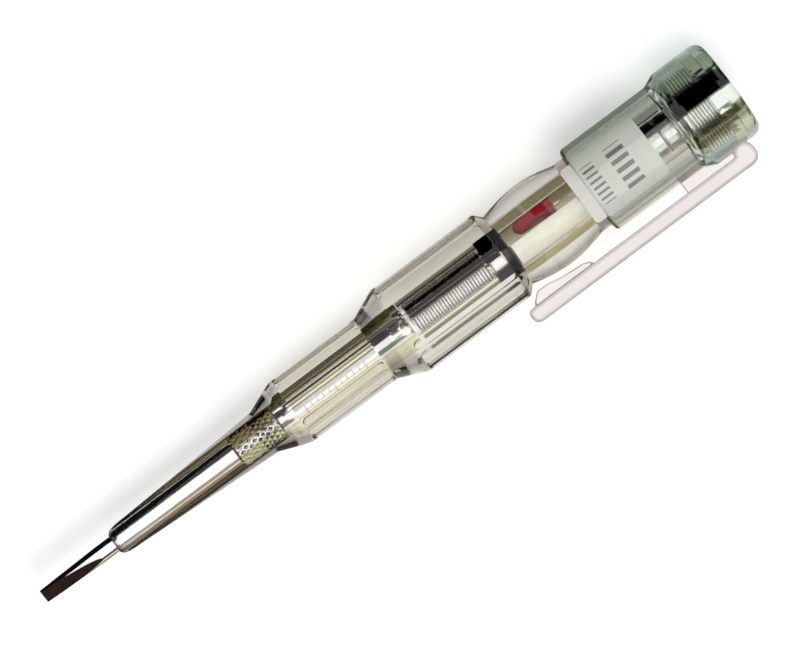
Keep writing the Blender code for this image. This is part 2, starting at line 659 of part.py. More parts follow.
def make_cell(name, start_x, steel, seal_plastic):
    """A button cell: a can open to the front, a seal ring in it and a lid in the ring."""
    can_x = start_x + CELL_LIP
    end_x = start_x + CELL_LENGTH
    floor_x = end_x - CELL_CAN_WALL
    seal_radius = CELL_RADIUS - CELL_CAN_WALL - CELL_PART_GAP
    lid_radius = seal_radius - CELL_SEAL_WALL - CELL_PART_GAP
    inner_end_x = floor_x - CELL_PART_GAP
    can = [
        (floor_x, 0.0),
        (floor_x, CELL_RADIUS - CELL_CAN_WALL),
        (can_x, CELL_RADIUS - CELL_CAN_WALL),
        (can_x, CELL_RADIUS - CELL_EDGE / 2),
        (can_x + CELL_EDGE / 2, CELL_RADIUS),
        (end_x - CELL_EDGE, CELL_RADIUS),
        (end_x, CELL_RADIUS - CELL_EDGE),
        (end_x, 0.0),
    ]
    bm = revolve(can, ROUND_FACETS // 2)
    finish_object(name + "_can", bm, steel, CLIP_TURN)
    seal = [
        (can_x, seal_radius - CELL_SEAL_WALL), (can_x, seal_radius),
        (inner_end_x, seal_radius), (inner_end_x, seal_radius - CELL_SEAL_WALL),
    ]
    bm = revolve(seal, ROUND_FACETS // 2, ring=True)
    finish_object(name + "_seal", bm, seal_plastic, CLIP_TURN)
    lid = [
        (start_x, 0.0), (start_x, lid_radius - CELL_EDGE), (start_x + CELL_EDGE, lid_radius),
        (inner_end_x, lid_radius), (inner_end_x, 0.0),
    ]
    finish_object(name + "_lid", revolve(lid, ROUND_FACETS // 2), steel, CLIP_TURN)


def make_label(paper):
    """A sheet bent round the window side of the tube."""
    outer = label_radius + LABEL_THICKNESS
    end_x = label_x + LABEL_LENGTH
    bm = bmesh.new()
    corners = [(label_x, label_radius), (label_x, outer), (end_x, outer), (end_x, label_radius)]
    face = bm.faces.new([bm.verts.new((x, 0.0, radius)) for x, radius in corners])
    bmesh.ops.rotate(
        bm, verts=bm.verts, cent=(0, 0, 0), matrix=Matrix.Rotation(-LABEL_HALF_ANGLE, 3, "X")
    )
    bmesh.ops.spin(
        bm, geom=[face], cent=(0, 0, 0), axis=(1, 0, 0),
        angle=2 * LABEL_HALF_ANGLE, steps=SMALL_FACETS,
    )
    finish_object("label", bm, paper, CLIP_TURN)


def make_cap(tinted):
    """The screw cap: a sleeve, a wider head round the plug, and the root of the clip."""
    rim = arc((mouth_x + MOUTH_ROUND, sleeve_radius - MOUTH_ROUND), MOUTH_ROUND, pi, pi / 2)
    head = []
    for step in range(ARC_STEPS + 1):
        angle = pi / 2 * step / ARC_STEPS
        head.append((
            head_round_x + HEAD_ROUND_LENGTH * sin(angle),
            head_radius - HEAD_ROUND_DEPTH * (1 - cos(angle)),
        ))
    outline = [
        (mouth_x, sleeve_bore_radius),
        *rim,
        (flare_x, sleeve_radius),
        (head_x, head_radius),
        *head,
        (cap_end_x, PLUG_END_RADIUS + MOULD_GAP),
        (plug_flange_end_x + MOULD_GAP, PLUG_END_RADIUS + MOULD_GAP),
        (plug_flange_end_x + MOULD_GAP, PLUG_FLANGE_RADIUS + MOULD_GAP),
        (plug_flange_x - MOULD_GAP, PLUG_FLANGE_RADIUS + MOULD_GAP),
        (plug_flange_x - MOULD_GAP, PLUG_BARREL_RADIUS + MOULD_GAP),
        (sleeve_floor_x, PLUG_BARREL_RADIUS + MOULD_GAP),
        (sleeve_floor_x, sleeve_bore_radius),
    ]
    cap = finish_object("screw_cap", revolve(outline, ROUND_FACETS, ring=True), tinted, CLIP_TURN)
    apply_cut(cap, make_clip_root(tinted), "UNION")


def make_clip_root(tinted):
    """The bar's fixed end: a web on the sleeve and a round knuckle on the head."""
    end_x = root_end_x
    knuckle = CLIP_THICKNESS * 2 / 3
    sunk_sleeve = sleeve_radius - ROOT_SINK
    sunk_head = head_radius - ROOT_SINK
    middle = (end_x - knuckle, -(clip_outer - knuckle))
    outline = [
        (root_x, -sunk_sleeve),
        (flare_x, -sunk_sleeve),
        (head_x, -sunk_head),
        (end_x - knuckle / 2, -sunk_head),
        *arc(middle, knuckle, 0.0, -pi / 2),
        (root_x, -clip_outer),
    ]
    root = extrude_side_view(outline, CLIP_HALF_WIDTH, CLIP_EDGE_ROUND)
    return finish_object("clip_root_tool", root, tinted, CLIP_TURN)


def make_plug(steel):
    outline = [
        (plug_x, 0.0),
        (plug_x, PLUG_NOSE_RADIUS - EDGE_ROUND),
        (plug_x + EDGE_ROUND, PLUG_NOSE_RADIUS),
        (plug_barrel_x, PLUG_NOSE_RADIUS),
        (plug_barrel_x, PLUG_BARREL_RADIUS - PLUG_CHAMFER),
        (plug_barrel_x + PLUG_CHAMFER, PLUG_BARREL_RADIUS),
        (plug_flange_x, PLUG_BARREL_RADIUS),
        (plug_flange_x, PLUG_FLANGE_RADIUS),
        (plug_flange_end_x, PLUG_FLANGE_RADIUS),
        (plug_flange_end_x, PLUG_END_RADIUS),
        (plug_end_x - PLUG_CHAMFER, PLUG_END_RADIUS),
        (plug_end_x, PLUG_END_RADIUS - PLUG_CHAMFER),
        (plug_end_x, 0.0),
    ]
    finish_object("contact_plug", revolve(outline, ROUND_FACETS), steel, CLIP_TURN)


def nub_outline():
    """Side view of the nub: a steep ramp, a flat crest and a long slope to the rear."""
    crest = NECK_RADIUS + WINDOW_RISE + NUB_CLEARANCE
    slope_end = crest + NUB_SLOPE_RISE
    tail_end = slope_end + NUB_TAIL_RISE
    start_x = clip_front_x + NUB_SETBACK
    crest_x = start_x + NUB_RAMP_LENGTH
    slope_x = crest_x + NUB_CREST_LENGTH
    tail_x = slope_x + NUB_SLOPE_LENGTH
    foot_x = tail_x + NUB_TAIL_LENGTH
    base = clip_middle
    return [
        (start_x, -base),
        (start_x, -clip_inner),
        (crest_x, -crest),
        (slope_x, -crest),
        (tail_x, -slope_end),
        (foot_x, -tail_end),
        (foot_x + NUB_END_LENGTH, -clip_inner),
        (foot_x + NUB_END_LENGTH, -base),
    ]


def make_clip(tinted):
    """The springy arm of the clip, with the nub that holds the pocket's cloth."""
    front = (clip_front_x + CLIP_END_ROUND, -(clip_inner + CLIP_END_ROUND))
    back = (clip_front_x + CLIP_END_ROUND, -(clip_outer - CLIP_END_ROUND))
    outline = [
        *arc(front, CLIP_END_ROUND, pi / 2, pi, ARC_STEPS - 1),
        *arc(back, CLIP_END_ROUND, pi, 3 * pi / 2, ARC_STEPS - 1),
        (clip_rear_x, -clip_outer),
        (clip_rear_x, -clip_inner),
    ]
    arm = extrude_side_view(outline, CLIP_HALF_WIDTH, CLIP_EDGE_ROUND)
    clip = finish_object("pocket_clip", arm, tinted, CLIP_TURN)
    nub = extrude_side_view(nub_outline(), NUB_HALF_WIDTH, CLIP_EDGE_ROUND)
    apply_cut(clip, finish_object("nub_tool", nub, tinted, CLIP_TURN), "UNION")


def build():
    clear_scene()
    clear = make_material("clear_plastic", (0.90, 0.89, 0.88), 0.06, 0.0, 0.35)
    tinted = make_material("tinted_clear_plastic", (0.80, 0.90, 0.86), 0.06, 0.0, 0.4)
    shank_steel = make_material("chromed_steel", (0.75, 0.73, 0.71), 0.15, 1.0)
    spring_steel = make_material("spring_steel", (0.62, 0.61, 0.60), 0.25, 1.0)
    nickel = make_material("nickel_plate", (0.72, 0.70, 0.66), 0.22, 1.0)
    brass = make_material("brass_strip", (0.78, 0.62, 0.34), 0.3, 1.0)
    tinned = make_material("tinned_wire", (0.76, 0.73, 0.66), 0.3, 1.0)
    black = make_material("black_plastic", (0.02, 0.02, 0.02), 0.45, 0.0)
    white = make_material("white_plastic", (0.86, 0.84, 0.78), 0.4, 0.0)
    red = make_material("red_lens", (0.62, 0.02, 0.05), 0.2, 0.0)
    beige = make_material("resistor_enamel", (0.74, 0.62, 0.42), 0.35, 0.0)
    seal_plastic = make_material("seal_nylon", (0.55, 0.55, 0.5), 0.6, 0.0)
    paper = make_material("label_paper", (0.80, 0.80, 0.76), 0.7, 0.0)

    make_handle(clear)
    make_blade(shank_steel)
    make_spring(spring_steel)
    make_label(paper)
    make_front_contact(nickel)
    make_washer(black)
    make_carrier(white)
    make_lamp(red)
    make_transistor(black)
    make_resistor(beige)
    make_wires(tinned)
    make_disc(brass)
    for place, name in enumerate(("front_cell", "rear_cell")):
        make_cell(name, first_cell_x + place * cell_step, spring_steel, seal_plastic)
    make_plug(nickel)
    make_cap(tinted)
    make_clip(tinted)


build()
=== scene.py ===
from math import atan2, cos, pi, radians, sin, sqrt, tan

import bmesh
import bpy
from mathutils import Matrix, Vector


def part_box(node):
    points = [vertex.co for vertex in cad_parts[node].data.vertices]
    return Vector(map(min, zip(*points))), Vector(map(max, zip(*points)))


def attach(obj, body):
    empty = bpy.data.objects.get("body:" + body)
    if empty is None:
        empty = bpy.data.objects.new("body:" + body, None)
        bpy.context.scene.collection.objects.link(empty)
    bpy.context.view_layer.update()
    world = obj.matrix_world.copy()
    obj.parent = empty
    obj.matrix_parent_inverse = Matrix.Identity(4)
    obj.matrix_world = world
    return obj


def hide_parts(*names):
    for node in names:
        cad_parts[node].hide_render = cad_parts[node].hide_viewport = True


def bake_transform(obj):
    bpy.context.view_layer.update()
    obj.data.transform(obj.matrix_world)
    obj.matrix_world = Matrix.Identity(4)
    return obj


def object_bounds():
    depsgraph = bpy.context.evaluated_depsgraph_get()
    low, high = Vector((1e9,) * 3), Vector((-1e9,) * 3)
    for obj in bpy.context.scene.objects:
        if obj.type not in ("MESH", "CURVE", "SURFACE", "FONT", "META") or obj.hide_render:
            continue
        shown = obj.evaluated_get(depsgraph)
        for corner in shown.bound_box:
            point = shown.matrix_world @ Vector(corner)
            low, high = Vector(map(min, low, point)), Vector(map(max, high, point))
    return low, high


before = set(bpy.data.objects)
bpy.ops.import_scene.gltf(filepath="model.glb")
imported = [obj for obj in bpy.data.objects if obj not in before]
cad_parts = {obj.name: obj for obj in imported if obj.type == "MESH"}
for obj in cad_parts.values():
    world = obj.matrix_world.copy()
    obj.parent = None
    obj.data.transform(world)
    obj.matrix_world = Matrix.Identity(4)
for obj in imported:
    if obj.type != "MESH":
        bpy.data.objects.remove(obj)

CAD_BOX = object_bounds()
MM = 0.001

# The picture's view: the tool lies on +X, and the camera looks down, turned a little about its axis
VIEW_TURN = radians(10.5)
TOOL_SLOPE = radians(36.7)
PICTURE_WIDTH = 130.7 * MM
PICTURE_MIDDLE_X = 72.96 * MM
PICTURE_MIDDLE_SIDE = -0.52 * MM
CAMERA_DISTANCE = 1.2
SENSOR_WIDTH = 36.0

ALONG = Vector((1, 0, 0))
UPWARD = Vector((0, sin(VIEW_TURN), cos(VIEW_TURN)))
SIDEWAYS = Vector((0, -cos(VIEW_TURN), sin(VIEW_TURN)))

# The insides, the label, the cap and the clip are turned against the grips' flats
INSIDE_TURN = -VIEW_TURN

TURNED_STEPS = 128
SMALL_TURNED_STEPS = 64
MERGE_DISTANCE = 1e-7


# ---------------------------------------------------------------- finishes

# Painted shade for the dark surroundings seen through a rim: how much of the darker rim a surface takes,
# from seen square on, 0, to seen along it, 1
ROUND_RIM = [(0.1, 0), (0.27, 0.62), (0.42, 0.86), (0.56, 0.7), (0.8, 0.25)]
FLAT_RIM = [(0.05, 0), (0.16, 0.2), (0.45, 0.3), (0.85, 0.75)]
WINDOW_RIM = [(0.14, 0), (0.3, 0.22), (0.4, 0.32), (0.58, 0.68), (0.8, 0.3)]
CAP_RIM = [(0.12, 0), (0.3, 0.25), (0.5, 0.6), (0.8, 0.3)]
CLIP_RIM = [(0.015, 0), (0.08, 0.3), (0.3, 0.62), (0.7, 0.8)]

# How much painted shade and reflection a film by the metal takes, from the clip's side, 0, to the far side,
# 1
TAPER_FILM_SHADE = [
    (0.07, 0.2), (0.16, 0.05), (0.2, 0.5), (0.26, 1), (0.8, 1), (0.87, 0.7), (0.91, 0.9), (0.955, 0.2),
    (1.0, 0.08),
]
GRIP_FILM_SHADE = [(0.5, 0), (0.755, 0.9), (0.83, 1), (0.93, 0.95), (0.99, 0.84)]
WINDOW_FILM_SHADE = [(0.0, 0.75), (0.2, 0.3), (0.5, 0), (0.6, 0.45), (0.75, 0.77), (1.0, 1)]
KNURL_FAR_SHADE = [(0.55, 0), (0.66, 1)]
KNURL_NEAR_SHADE = [(0.3, 1), (0.4, 0)]
BORE_FAR_SHADE = [(0.63, 0), (0.67, 1), (0.75, 1), (0.79, 0.1), (1.0, 0.0)]
BORE_NEAR_SHADE = [(0.0, 1), (0.05, 1), (0.1, 0)]
CELLS_SHADE = [(0.59, 0), (0.64, 1), (0.82, 1), (0.88, 0)]
CUP_SHADE = [(0.0, 0.55), (0.2, 0.5), (0.27, 0), (0.57, 0), (0.63, 1), (1.0, 1)]
GRIP_UPPER_SHADE = [(0.745, 0), (0.765, 1), (0.86, 1), (0.88, 0)]
PLUG_FAR_SHADE = [(0.515, 0), (0.56, 1), (0.76, 1), (0.8, 0)]
PLUG_NEAR_SHADE = [(0.08, 0), (0.13, 1), (0.24, 1), (0.28, 0)]

# Where zones of painted shade start and end along the tool, in millimetres
NOSE_SHADE_FADE, TAPER_TO_GRIP = (19, 27), (47.5, 49.5)
FRONT_GRIP_ZONE, BORE_ZONE, CUP_ZONE = (49.9, 68), (74.6, 94), (90.5, 94)
CELLS_START = 122
UNDER_CAP = 110.9

CLEAR = (1, 1, 1)
NICKEL_LIGHT, NICKEL_DARK = (0.95, 0.94, 0.9), (0.62, 0.57, 0.48)
FINE_LINES, TARNISH = 9000.0, 420.0

# Rows of printed ticks: start and end in millimetres, then step, inked share and reach round the tube
TICK_ROWS = ((111.6, 113.9, 0.15, 0.4, 0.52), (116.3, 119.6, 0.22, 0.5, 0.56))

# The resistor's colour bands: where each starts, as a share of its length, and its colour
RESISTOR_BANDS = (
    (0.14, (0.24, 0.07, 0.02)), (0.34, (0.01, 0.01, 0.01)), (0.5, (0.62, 0.2, 0.02)),
    (0.78, (0.5, 0.33, 0.06)),
)
BAND_WIDTH = 0.085


class Value:
    """A number in a node tree. Arithmetic on it adds Math nodes."""

    def __init__(self, tree, socket):
        self.tree = tree
        self.socket = socket

    def maths(self, operation, first, second):
        node = self.tree.nodes.new("ShaderNodeMath")
        node.operation = operation
        for place, term in zip(node.inputs, (first, second)):
            if isinstance(term, Value):
                self.tree.links.new(term.socket, place)
            else:
                place.default_value = term
        return Value(self.tree, node.outputs[0])

    def __add__(self, other):
        return self.maths("ADD", self, other)

    def __radd__(self, other):
        return self.maths("ADD", other, self)

    def __sub__(self, other):
        return self.maths("SUBTRACT", self, other)

    def __rsub__(self, other):
        return self.maths("SUBTRACT", other, self)

    def __mul__(self, other):
        return self.maths("MULTIPLY", self, other)

    def __rmul__(self, other):
        return self.maths("MULTIPLY", other, self)

    def __truediv__(self, other):
        return self.maths("DIVIDE", self, other)

    def __pow__(self, other):
        return self.maths("POWER", self, other)

    def __gt__(self, other):
        return self.maths("GREATER_THAN", self, other)

    def __lt__(self, other):
        return self.maths("LESS_THAN", self, other)


def between(value, low, high):
    """1 where a value lies between two limits in millimetres, and 0 elsewhere."""
    return (value > low * MM) * (value < high * MM)


class Finish:
    """A material, or the world, with one method that adds any node to it."""

    def __init__(self, owner):
        owner.use_nodes = True
        self.owner = owner
        self.tree = owner.node_tree
        self.tree.nodes.clear()

    def add(self, kind, settings=None, sockets=None, output=0):
        """A new node. A socket takes a Value, or a constant that is set on it."""
        node = self.tree.nodes.new("ShaderNode" + kind)
        for key, setting in (settings or {}).items():
            if key == "stops":
                ramp = node.color_ramp
                while len(ramp.elements) < len(setting):
                    ramp.elements.new(0.5)
                for element, (place, level) in zip(ramp.elements, setting):
                    element.position = place
                    element.color = (level, level, level, 1)
            else:
                setattr(node, key, setting)
        for key, term in (sockets or {}).items():
            if isinstance(term, Value):
                self.tree.links.new(term.socket, node.inputs[key])
            elif isinstance(term, tuple) and len(term) == 3 and node.inputs[key].type == "RGBA":
                node.inputs[key].default_value = (*term, 1)
            else:
                node.inputs[key].default_value = term
        return Value(self.tree, node.outputs[output])

    def blend(self, factor, first, second):
        """One colour or the other, by a number from 0 to 1."""
        return self.add("Mix", {"data_type": "RGBA"}, {0: factor, 6: first, 7: second}, output=2)

    def film(self, factor, first, second):
        """See-through colour that turns from one to the other by a number from 0 to 1."""
        films = [
            part if isinstance(part, Value) else self.add("BsdfTransparent", None, {"Color": part})
            for part in (first, second)
        ]
        return self.add("MixShader", None, {0: factor, 1: films[0], 2: films[1]})

    def place(self, stretch=(1, 1, 1), turn=0.0):
        """A point on the piece, in metres, stretched to draw a pattern out or turned about the tool."""
        point = self.add("TexCoord", output=3)
        return self.add("Mapping", None, {"Vector": point, "Rotation": (turn, 0, 0), "Scale": stretch})

    def axes(self, turn=0.0):
        """Along the tool, across it and up from it, in metres."""
        split = self.add("SeparateXYZ", None, {"Vector": self.place(turn=turn)}).socket.node
        return [Value(self.tree, socket) for socket in split.outputs]

    def grain(self, scale, detail, stretch=(1, 1, 1)):
        """Noise from 0 to 1 whose features are 1 / scale metres across."""
        return self.add("TexNoise", None, {"Vector": self.place(stretch), "Scale": scale, "Detail": detail})

    def ramp(self, factor, stops):
        """A number that follows (place, level) stops."""
        return self.add("ValToRGB", {"stops": stops}, {"Fac": factor})

    def fade(self, value, start, end, low=0.0, high=1.0):
        """From one level to another between two places in millimetres."""
        return self.add("MapRange", {"clamp": True}, {0: value, 1: start * MM, 2: end * MM, 3: low, 4: high})

    def bump(self, height, depth, strength):
        return self.add("Bump", None, {"Height": height, "Distance": depth, "Strength": strength})

    def finish(self, surface, volume=None):
        """Joins the last nodes to the output."""
        kind = "World" if isinstance(self.owner, bpy.types.World) else "Material"
        out = self.tree.nodes.new("ShaderNodeOutput" + kind)
        self.tree.links.new(surface.socket, out.inputs["Surface"])
        if volume:
            self.tree.links.new(volume.socket, out.inputs["Volume"])
        return self.owner

    def principled(self, sockets):
        """A finish of one Principled shader."""
        return self.finish(self.add("BsdfPrincipled", None, sockets))


def new_finish(name):
    return Finish(bpy.data.materials.new(name))


def handle_zones(f, facing, share, tint_and_side_shade, rim_shade_colour):
    """Painted shade: the flats and the tube darken less, the neck and ticks more. The grips take a painted
    cream shade away from the clip.
    """
    along, across, height = f.axes()
    side = f.axes(VIEW_TURN)[1]
    front = between(along, FRONT_GRIP_X + 0.7, REAR_FLARE_X - 0.2)
    rear = between(along, REAR_GRIP_X + 0.2, NECK_X - 0.2)
    for zone, rim in ((front + rear, FLAT_RIM), (between(along, WINDOW_X, TUBE_X), WINDOW_RIM)):
        share = f.add("Mix", {"data_type": "FLOAT"}, {0: zone, 2: share, 3: f.ramp(facing, rim)})
    share = share * (1 - 0.75 * (along > UNDER_CAP * MM))
    # Painted shade: the neck's rim turns almost black
    neck = between(along, NECK_X + 0.1, WINDOW_X + 0.25) * between(side, -4.3, 4.3)
    share = share + neck * (1 - share) * 0.93
    # Painted shade: the raised ticks take more of the darker rim
    raised = (height > (FRONT_FLAT + 0.02) * MM) * between(across, -1.3, 1.3) * front
    share = share + raised * 0.3
    rim_shade_colour = f.blend(neck, rim_shade_colour, (0.006, 0.005, 0.004))
    # Painted shade: the grips' base colour turns cream away from the clip, less on the rear grip
    tint_and_side_shade = f.blend(f.fade(side, 1.2, 1.9) * (front + 0.45 * rear), tint_and_side_shade, (0.78, 0.74, 0.63))
    return share, tint_and_side_shade, rim_shade_colour


def clear_plastic(name, tint_and_side_shade, rim_shade_colour, rim, depth_tint, depth_density, lamp_tint, grips=False):
    """Injection-moulded clear plastic, darker where a surface is seen at a slant, with painted shade in that
    darker rim.
    """
    f = new_finish(name)
    ripple = f.grain(260.0, 2.0, (0.35, 1, 1))
    scuff = f.grain(1800.0, 4.0)
    facing = f.add("LayerWeight", None, {"Blend": 0.5}, output=1)
    share = f.ramp(facing, rim)
    if grips:
        share, tint_and_side_shade, rim_shade_colour = handle_zones(f, facing, share, tint_and_side_shade, rim_shade_colour)
    common = {
        "Transmission Weight": 1.0, "IOR": 1.49, "Specular IOR Level": 0.2,
        "Roughness": 0.012 + 0.03 * scuff ** 2.0, "Normal": f.bump(ripple, 0.00004, 0.6),
    }
    body = f.add("BsdfPrincipled", None, {"Base Color": tint_and_side_shade, **common})
    # The edge shader's colour is the painted shade of the rim
    edge = f.add("BsdfPrincipled", None, {"Base Color": rim_shade_colour, **common})
    glass = f.add("MixShader", None, {0: share, 1: body, 2: edge})
    film = f.add("BsdfTransparent", None, {"Color": lamp_tint})
    bounced = f.add("LightPath", output="Is Diffuse Ray")
    seen = f.add("MixShader", None, {0: bounced, 1: glass, 2: film})
    shadow = f.add("LightPath", output="Is Shadow Ray")
    surface = f.add("MixShader", None, {0: shadow, 1: seen, 2: film})
    depth = f.add("VolumeAbsorption", None, {"Color": depth_tint, "Density": depth_density})
    return f.finish(surface, depth)


def by_the_metal(f):
    """Along the tool, up from it, out from its axis, and from the clip's side, 0, to the far one, 1."""
    along, side, height = f.axes(VIEW_TURN)
    streak = f.grain(1200.0, 3.0, (0.05, 1, 1))
    reach = (side ** 2.0 + height ** 2.0) ** 0.5
    return along, height, reach, 0.5 + 0.5 * (side / reach) + 0.02 * (streak - 0.5)


def painted_core_films():
    """Films by the bore, painted with shade and reflections. The lower half colours and darkens what is seen
    beside the metal, the upper half the metal.
    """
    f = new_finish("core_painted_shade")
    along, height, reach, share = by_the_metal(f)
    # Painted shade and reflection: dark to tan round the taper, near black towards the nose
    taper = f.film(f.ramp(share, TAPER_FILM_SHADE), (0.025, 0.017, 0.007), (0.3, 0.26, 0.145))
    taper = f.film(f.fade(along, *NOSE_SHADE_FADE, 1.0, 0.0), taper, (0.03, 0.03, 0.04))
    # Painted shade: the grips' film is cream on the clip's side and dark olive on the far side
    grips = f.film(f.ramp(share, GRIP_FILM_SHADE), (0.82, 0.79, 0.63), (0.045, 0.045, 0.008))
    front = f.film(f.fade(along, *TAPER_TO_GRIP), taper, grips)
    # Painted shade: the window's film turns from cream to brown, and is brown all over by the cells
    window_shade_share = f.ramp(share, WINDOW_FILM_SHADE)
    by_cells = along > CELLS_START * MM
    window_shade_share = window_shade_share + (1 - window_shade_share) * by_cells
    window = f.film(window_shade_share, (0.85, 0.82, 0.66), (0.34, 0.27, 0.135))
    lower = f.film(along > NECK_X * MM, front, window)

    bore, cup = between(along, *BORE_ZONE), between(along, *CUP_ZONE)
    knurl = between(along, KNURL_X - 0.1, KNURL_X + KNURL_LENGTH + 0.1)
    # Painted reflections and shade on the upper half: a black line under a flat's edge, olive by the front
    # grip, dark and pale by the spring, black by the cup, dark by the cells, olive and pale by the knurl
    upper = CLEAR
    for factor, colour in (
        (reach > 5 * MM, (0.03, 0.022, 0.015)),
        (f.ramp(share, GRIP_UPPER_SHADE) * between(along, *FRONT_GRIP_ZONE), (0.5, 0.44, 0.24)),
        (f.ramp(share, BORE_FAR_SHADE) * bore * (1 - cup), (0.3, 0.26, 0.25)),
        (f.ramp(share, BORE_NEAR_SHADE) * bore * (1 - cup), (0.75, 0.74, 0.69)),
        (f.ramp(share, CUP_SHADE) * cup, (0.03, 0.025, 0.02)),
        (f.ramp(share, CELLS_SHADE) * by_cells, (0.2, 0.17, 0.15)),
        (f.ramp(share, KNURL_FAR_SHADE) * knurl, (0.55, 0.5, 0.35)),
        (f.ramp(share, KNURL_NEAR_SHADE) * knurl, (0.84, 0.84, 0.66)),
    ):
        upper = f.film(factor, upper, colour)
    halves = f.film((height < -0.4 * MM) * (1 - bore), upper, lower)
    outer_faces = (reach > 1.62 * MM) * (1 - between(reach, 3.2, 3.52))
    return f.finish(f.film(outer_faces, CLEAR, halves))


def painted_head_film():
    """The film round the plug, painted shade and reflection: black away from the clip, olive on the clip's
    side.
    """
    f = new_finish("head_painted_shade")
    _, height, reach, share = by_the_metal(f)
    upper = f.film(f.ramp(share, PLUG_FAR_SHADE), CLEAR, (0.05, 0.045, 0.035))
    upper = f.film(f.ramp(share, PLUG_NEAR_SHADE), upper, (0.52, 0.5, 0.39))
    return f.finish(f.film((height > 0) * (reach > 5.76 * MM), CLEAR, upper))


def bright_metal(name, light, dark, rough):
    """Plated or drawn metal: fine lines along it and cloudy tarnish."""
    f = new_finish(name)
    lines = f.grain(FINE_LINES, 2.0, (0.03, 1, 1))
    cloud = f.grain(TARNISH, 4.0)
    return f.principled({
        "Base Color": f.blend(cloud ** 2.0, light, dark), "Metallic": 1.0,
        "Roughness": rough + 0.16 * lines * cloud, "Normal": f.bump(lines, 0.000008, 0.7),
    })


def plug_metal():
    """Nickel plate, dull in the roots of the thread and darkened there with painted shade."""
    f = new_finish("threaded_nickel")
    lines = f.grain(FINE_LINES, 2.0, (1, 0.03, 0.03))
    cloud = f.grain(TARNISH, 4.0)
    along, side, height = f.axes()
    reach = (side ** 2.0 + height ** 2.0) ** 0.5
    # Painted shade in the roots of the thread
    root_shade = f.fade(reach, 5.03, 4.86, 0.0, 0.4) * between(along, 130.4, 135.3)
    bright = f.blend(cloud ** 2.0, NICKEL_LIGHT, NICKEL_DARK)
    return f.principled({
        "Base Color": f.blend(root_shade, bright, (0.06, 0.055, 0.05)), "Metallic": 1.0,
        "Roughness": 0.08 + 0.16 * lines * cloud + 0.1 * root_shade, "Normal": f.bump(lines, 0.000008, 0.7),
    })


def blade_steel():
    """Chromed shank with fine lines drawn along it."""
    f = new_finish("chromed_blade_steel")
    lines = f.grain(FINE_LINES, 2.0, (0.02, 1, 1))
    cloud = f.grain(900.0, 5.0, (0.5, 1, 1))
    return f.principled({
        "Base Color": f.blend(cloud ** 3.0, (0.97, 0.965, 0.95), (0.8, 0.77, 0.72)), "Metallic": 1.0,
        "Roughness": 0.06 + 0.06 * lines, "Normal": f.bump(lines, 0.00001, 0.7),
    })


def ground_steel():
    """The brown, worn faces that were ground to the blade's edge."""
    f = new_finish("ground_blade_steel")
    scratches = f.grain(7000.0, 3.0, (1, 0.04, 0.04))
    cloud = f.grain(1100.0, 5.0)
    colour = f.blend(cloud * 0.6 + scratches * 0.4, (0.012, 0.006, 0.005), (0.055, 0.032, 0.025))
    return f.principled({
        "Base Color": colour, "Metallic": 0.9, "Roughness": 0.3 + 0.3 * cloud,
        "Normal": f.bump(scratches, 0.00001, 0.8),
    })


def moulded(name, light, dark, rough, grain_scale=1500.0, coat=0.0, shine=0.5):
    """Opaque or milky moulded plastic, enamel or nylon with a little cloud in its colour."""
    f = new_finish(name)
    cloud = f.grain(grain_scale, 4.0)
    fine = f.grain(grain_scale * 6, 2.0)
    return f.principled({
        "Base Color": f.blend(cloud, light, dark), "Roughness": rough + 0.15 * fine,
        "Coat Weight": coat, "Coat Roughness": 0.08, "Specular IOR Level": shine,
        "Normal": f.bump(fine, 0.00001, 0.6),
    })


def resistor_enamel():
    """Beige enamel with four colour bands round it."""
    f = new_finish("resistor_enamel")
    low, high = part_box("resistor")
    share = (f.axes()[0] - low.x) * (1 / (high.x - low.x))
    colour = f.blend(f.grain(2500.0, 3.0), (0.62, 0.47, 0.28), (0.5, 0.36, 0.2))
    for start, band in RESISTOR_BANDS:
        colour = f.blend((share > start) * (share < start + BAND_WIDTH), colour, band)
    return f.principled({
        "Base Color": colour, "Roughness": 0.35, "Coat Weight": 0.4, "Coat Roughness": 0.1,
    })


def label_paper():
    """Matt paper with fine fibres and two plain rows of printed ticks."""
    f = new_finish("label_paper")
    fibre = f.grain(6000.0, 5.0, (1, 0.35, 0.35))
    cloud = f.grain(500.0, 3.0)
    paper = f.blend(cloud * 0.5 + fibre * 0.5, (0.67, 0.65, 0.6), (0.55, 0.535, 0.485))
    along, side, height = f.axes(-INSIDE_TURN)
    round_tube = side.maths("ARCTAN2", side, height)
    ticks = 0
    for start, end, step, inked, reach in TICK_ROWS:
        position = (round_tube + 1.0) * (1 / step)
        part = position - position.maths("FLOOR", position, 0.0)
        row = between(along, start, end) * (round_tube > -reach) * (round_tube < reach)
        ticks = ticks + row * (part < inked)
    worn = 0.94 - 0.25 * fibre
    return f.principled({
        "Base Color": f.blend(ticks * worn, paper, (0.055, 0.055, 0.055)),
        "Roughness": 0.55 + 0.2 * fibre, "Normal": f.bump(fibre, 0.00001, 0.8),
    })


# ---------------------------------------------------------------- making meshes

def link(name, mesh, finish=None):
    """A new object in the scene."""
    made = bpy.data.objects.new(name, mesh)
    bpy.context.scene.collection.objects.link(made)
    if finish:
        mesh.materials.append(finish)
    return made


def piece(name, bm, finish=None, sharp=30.0):
    """A smooth piece whose edges stay sharp above an angle in degrees."""
    mesh = bpy.data.meshes.new(name)
    bm.to_mesh(mesh)
    bm.free()
    mesh.shade_smooth()
    mesh.set_sharp_from_angle(angle=radians(sharp))
    return link(name, mesh, finish)


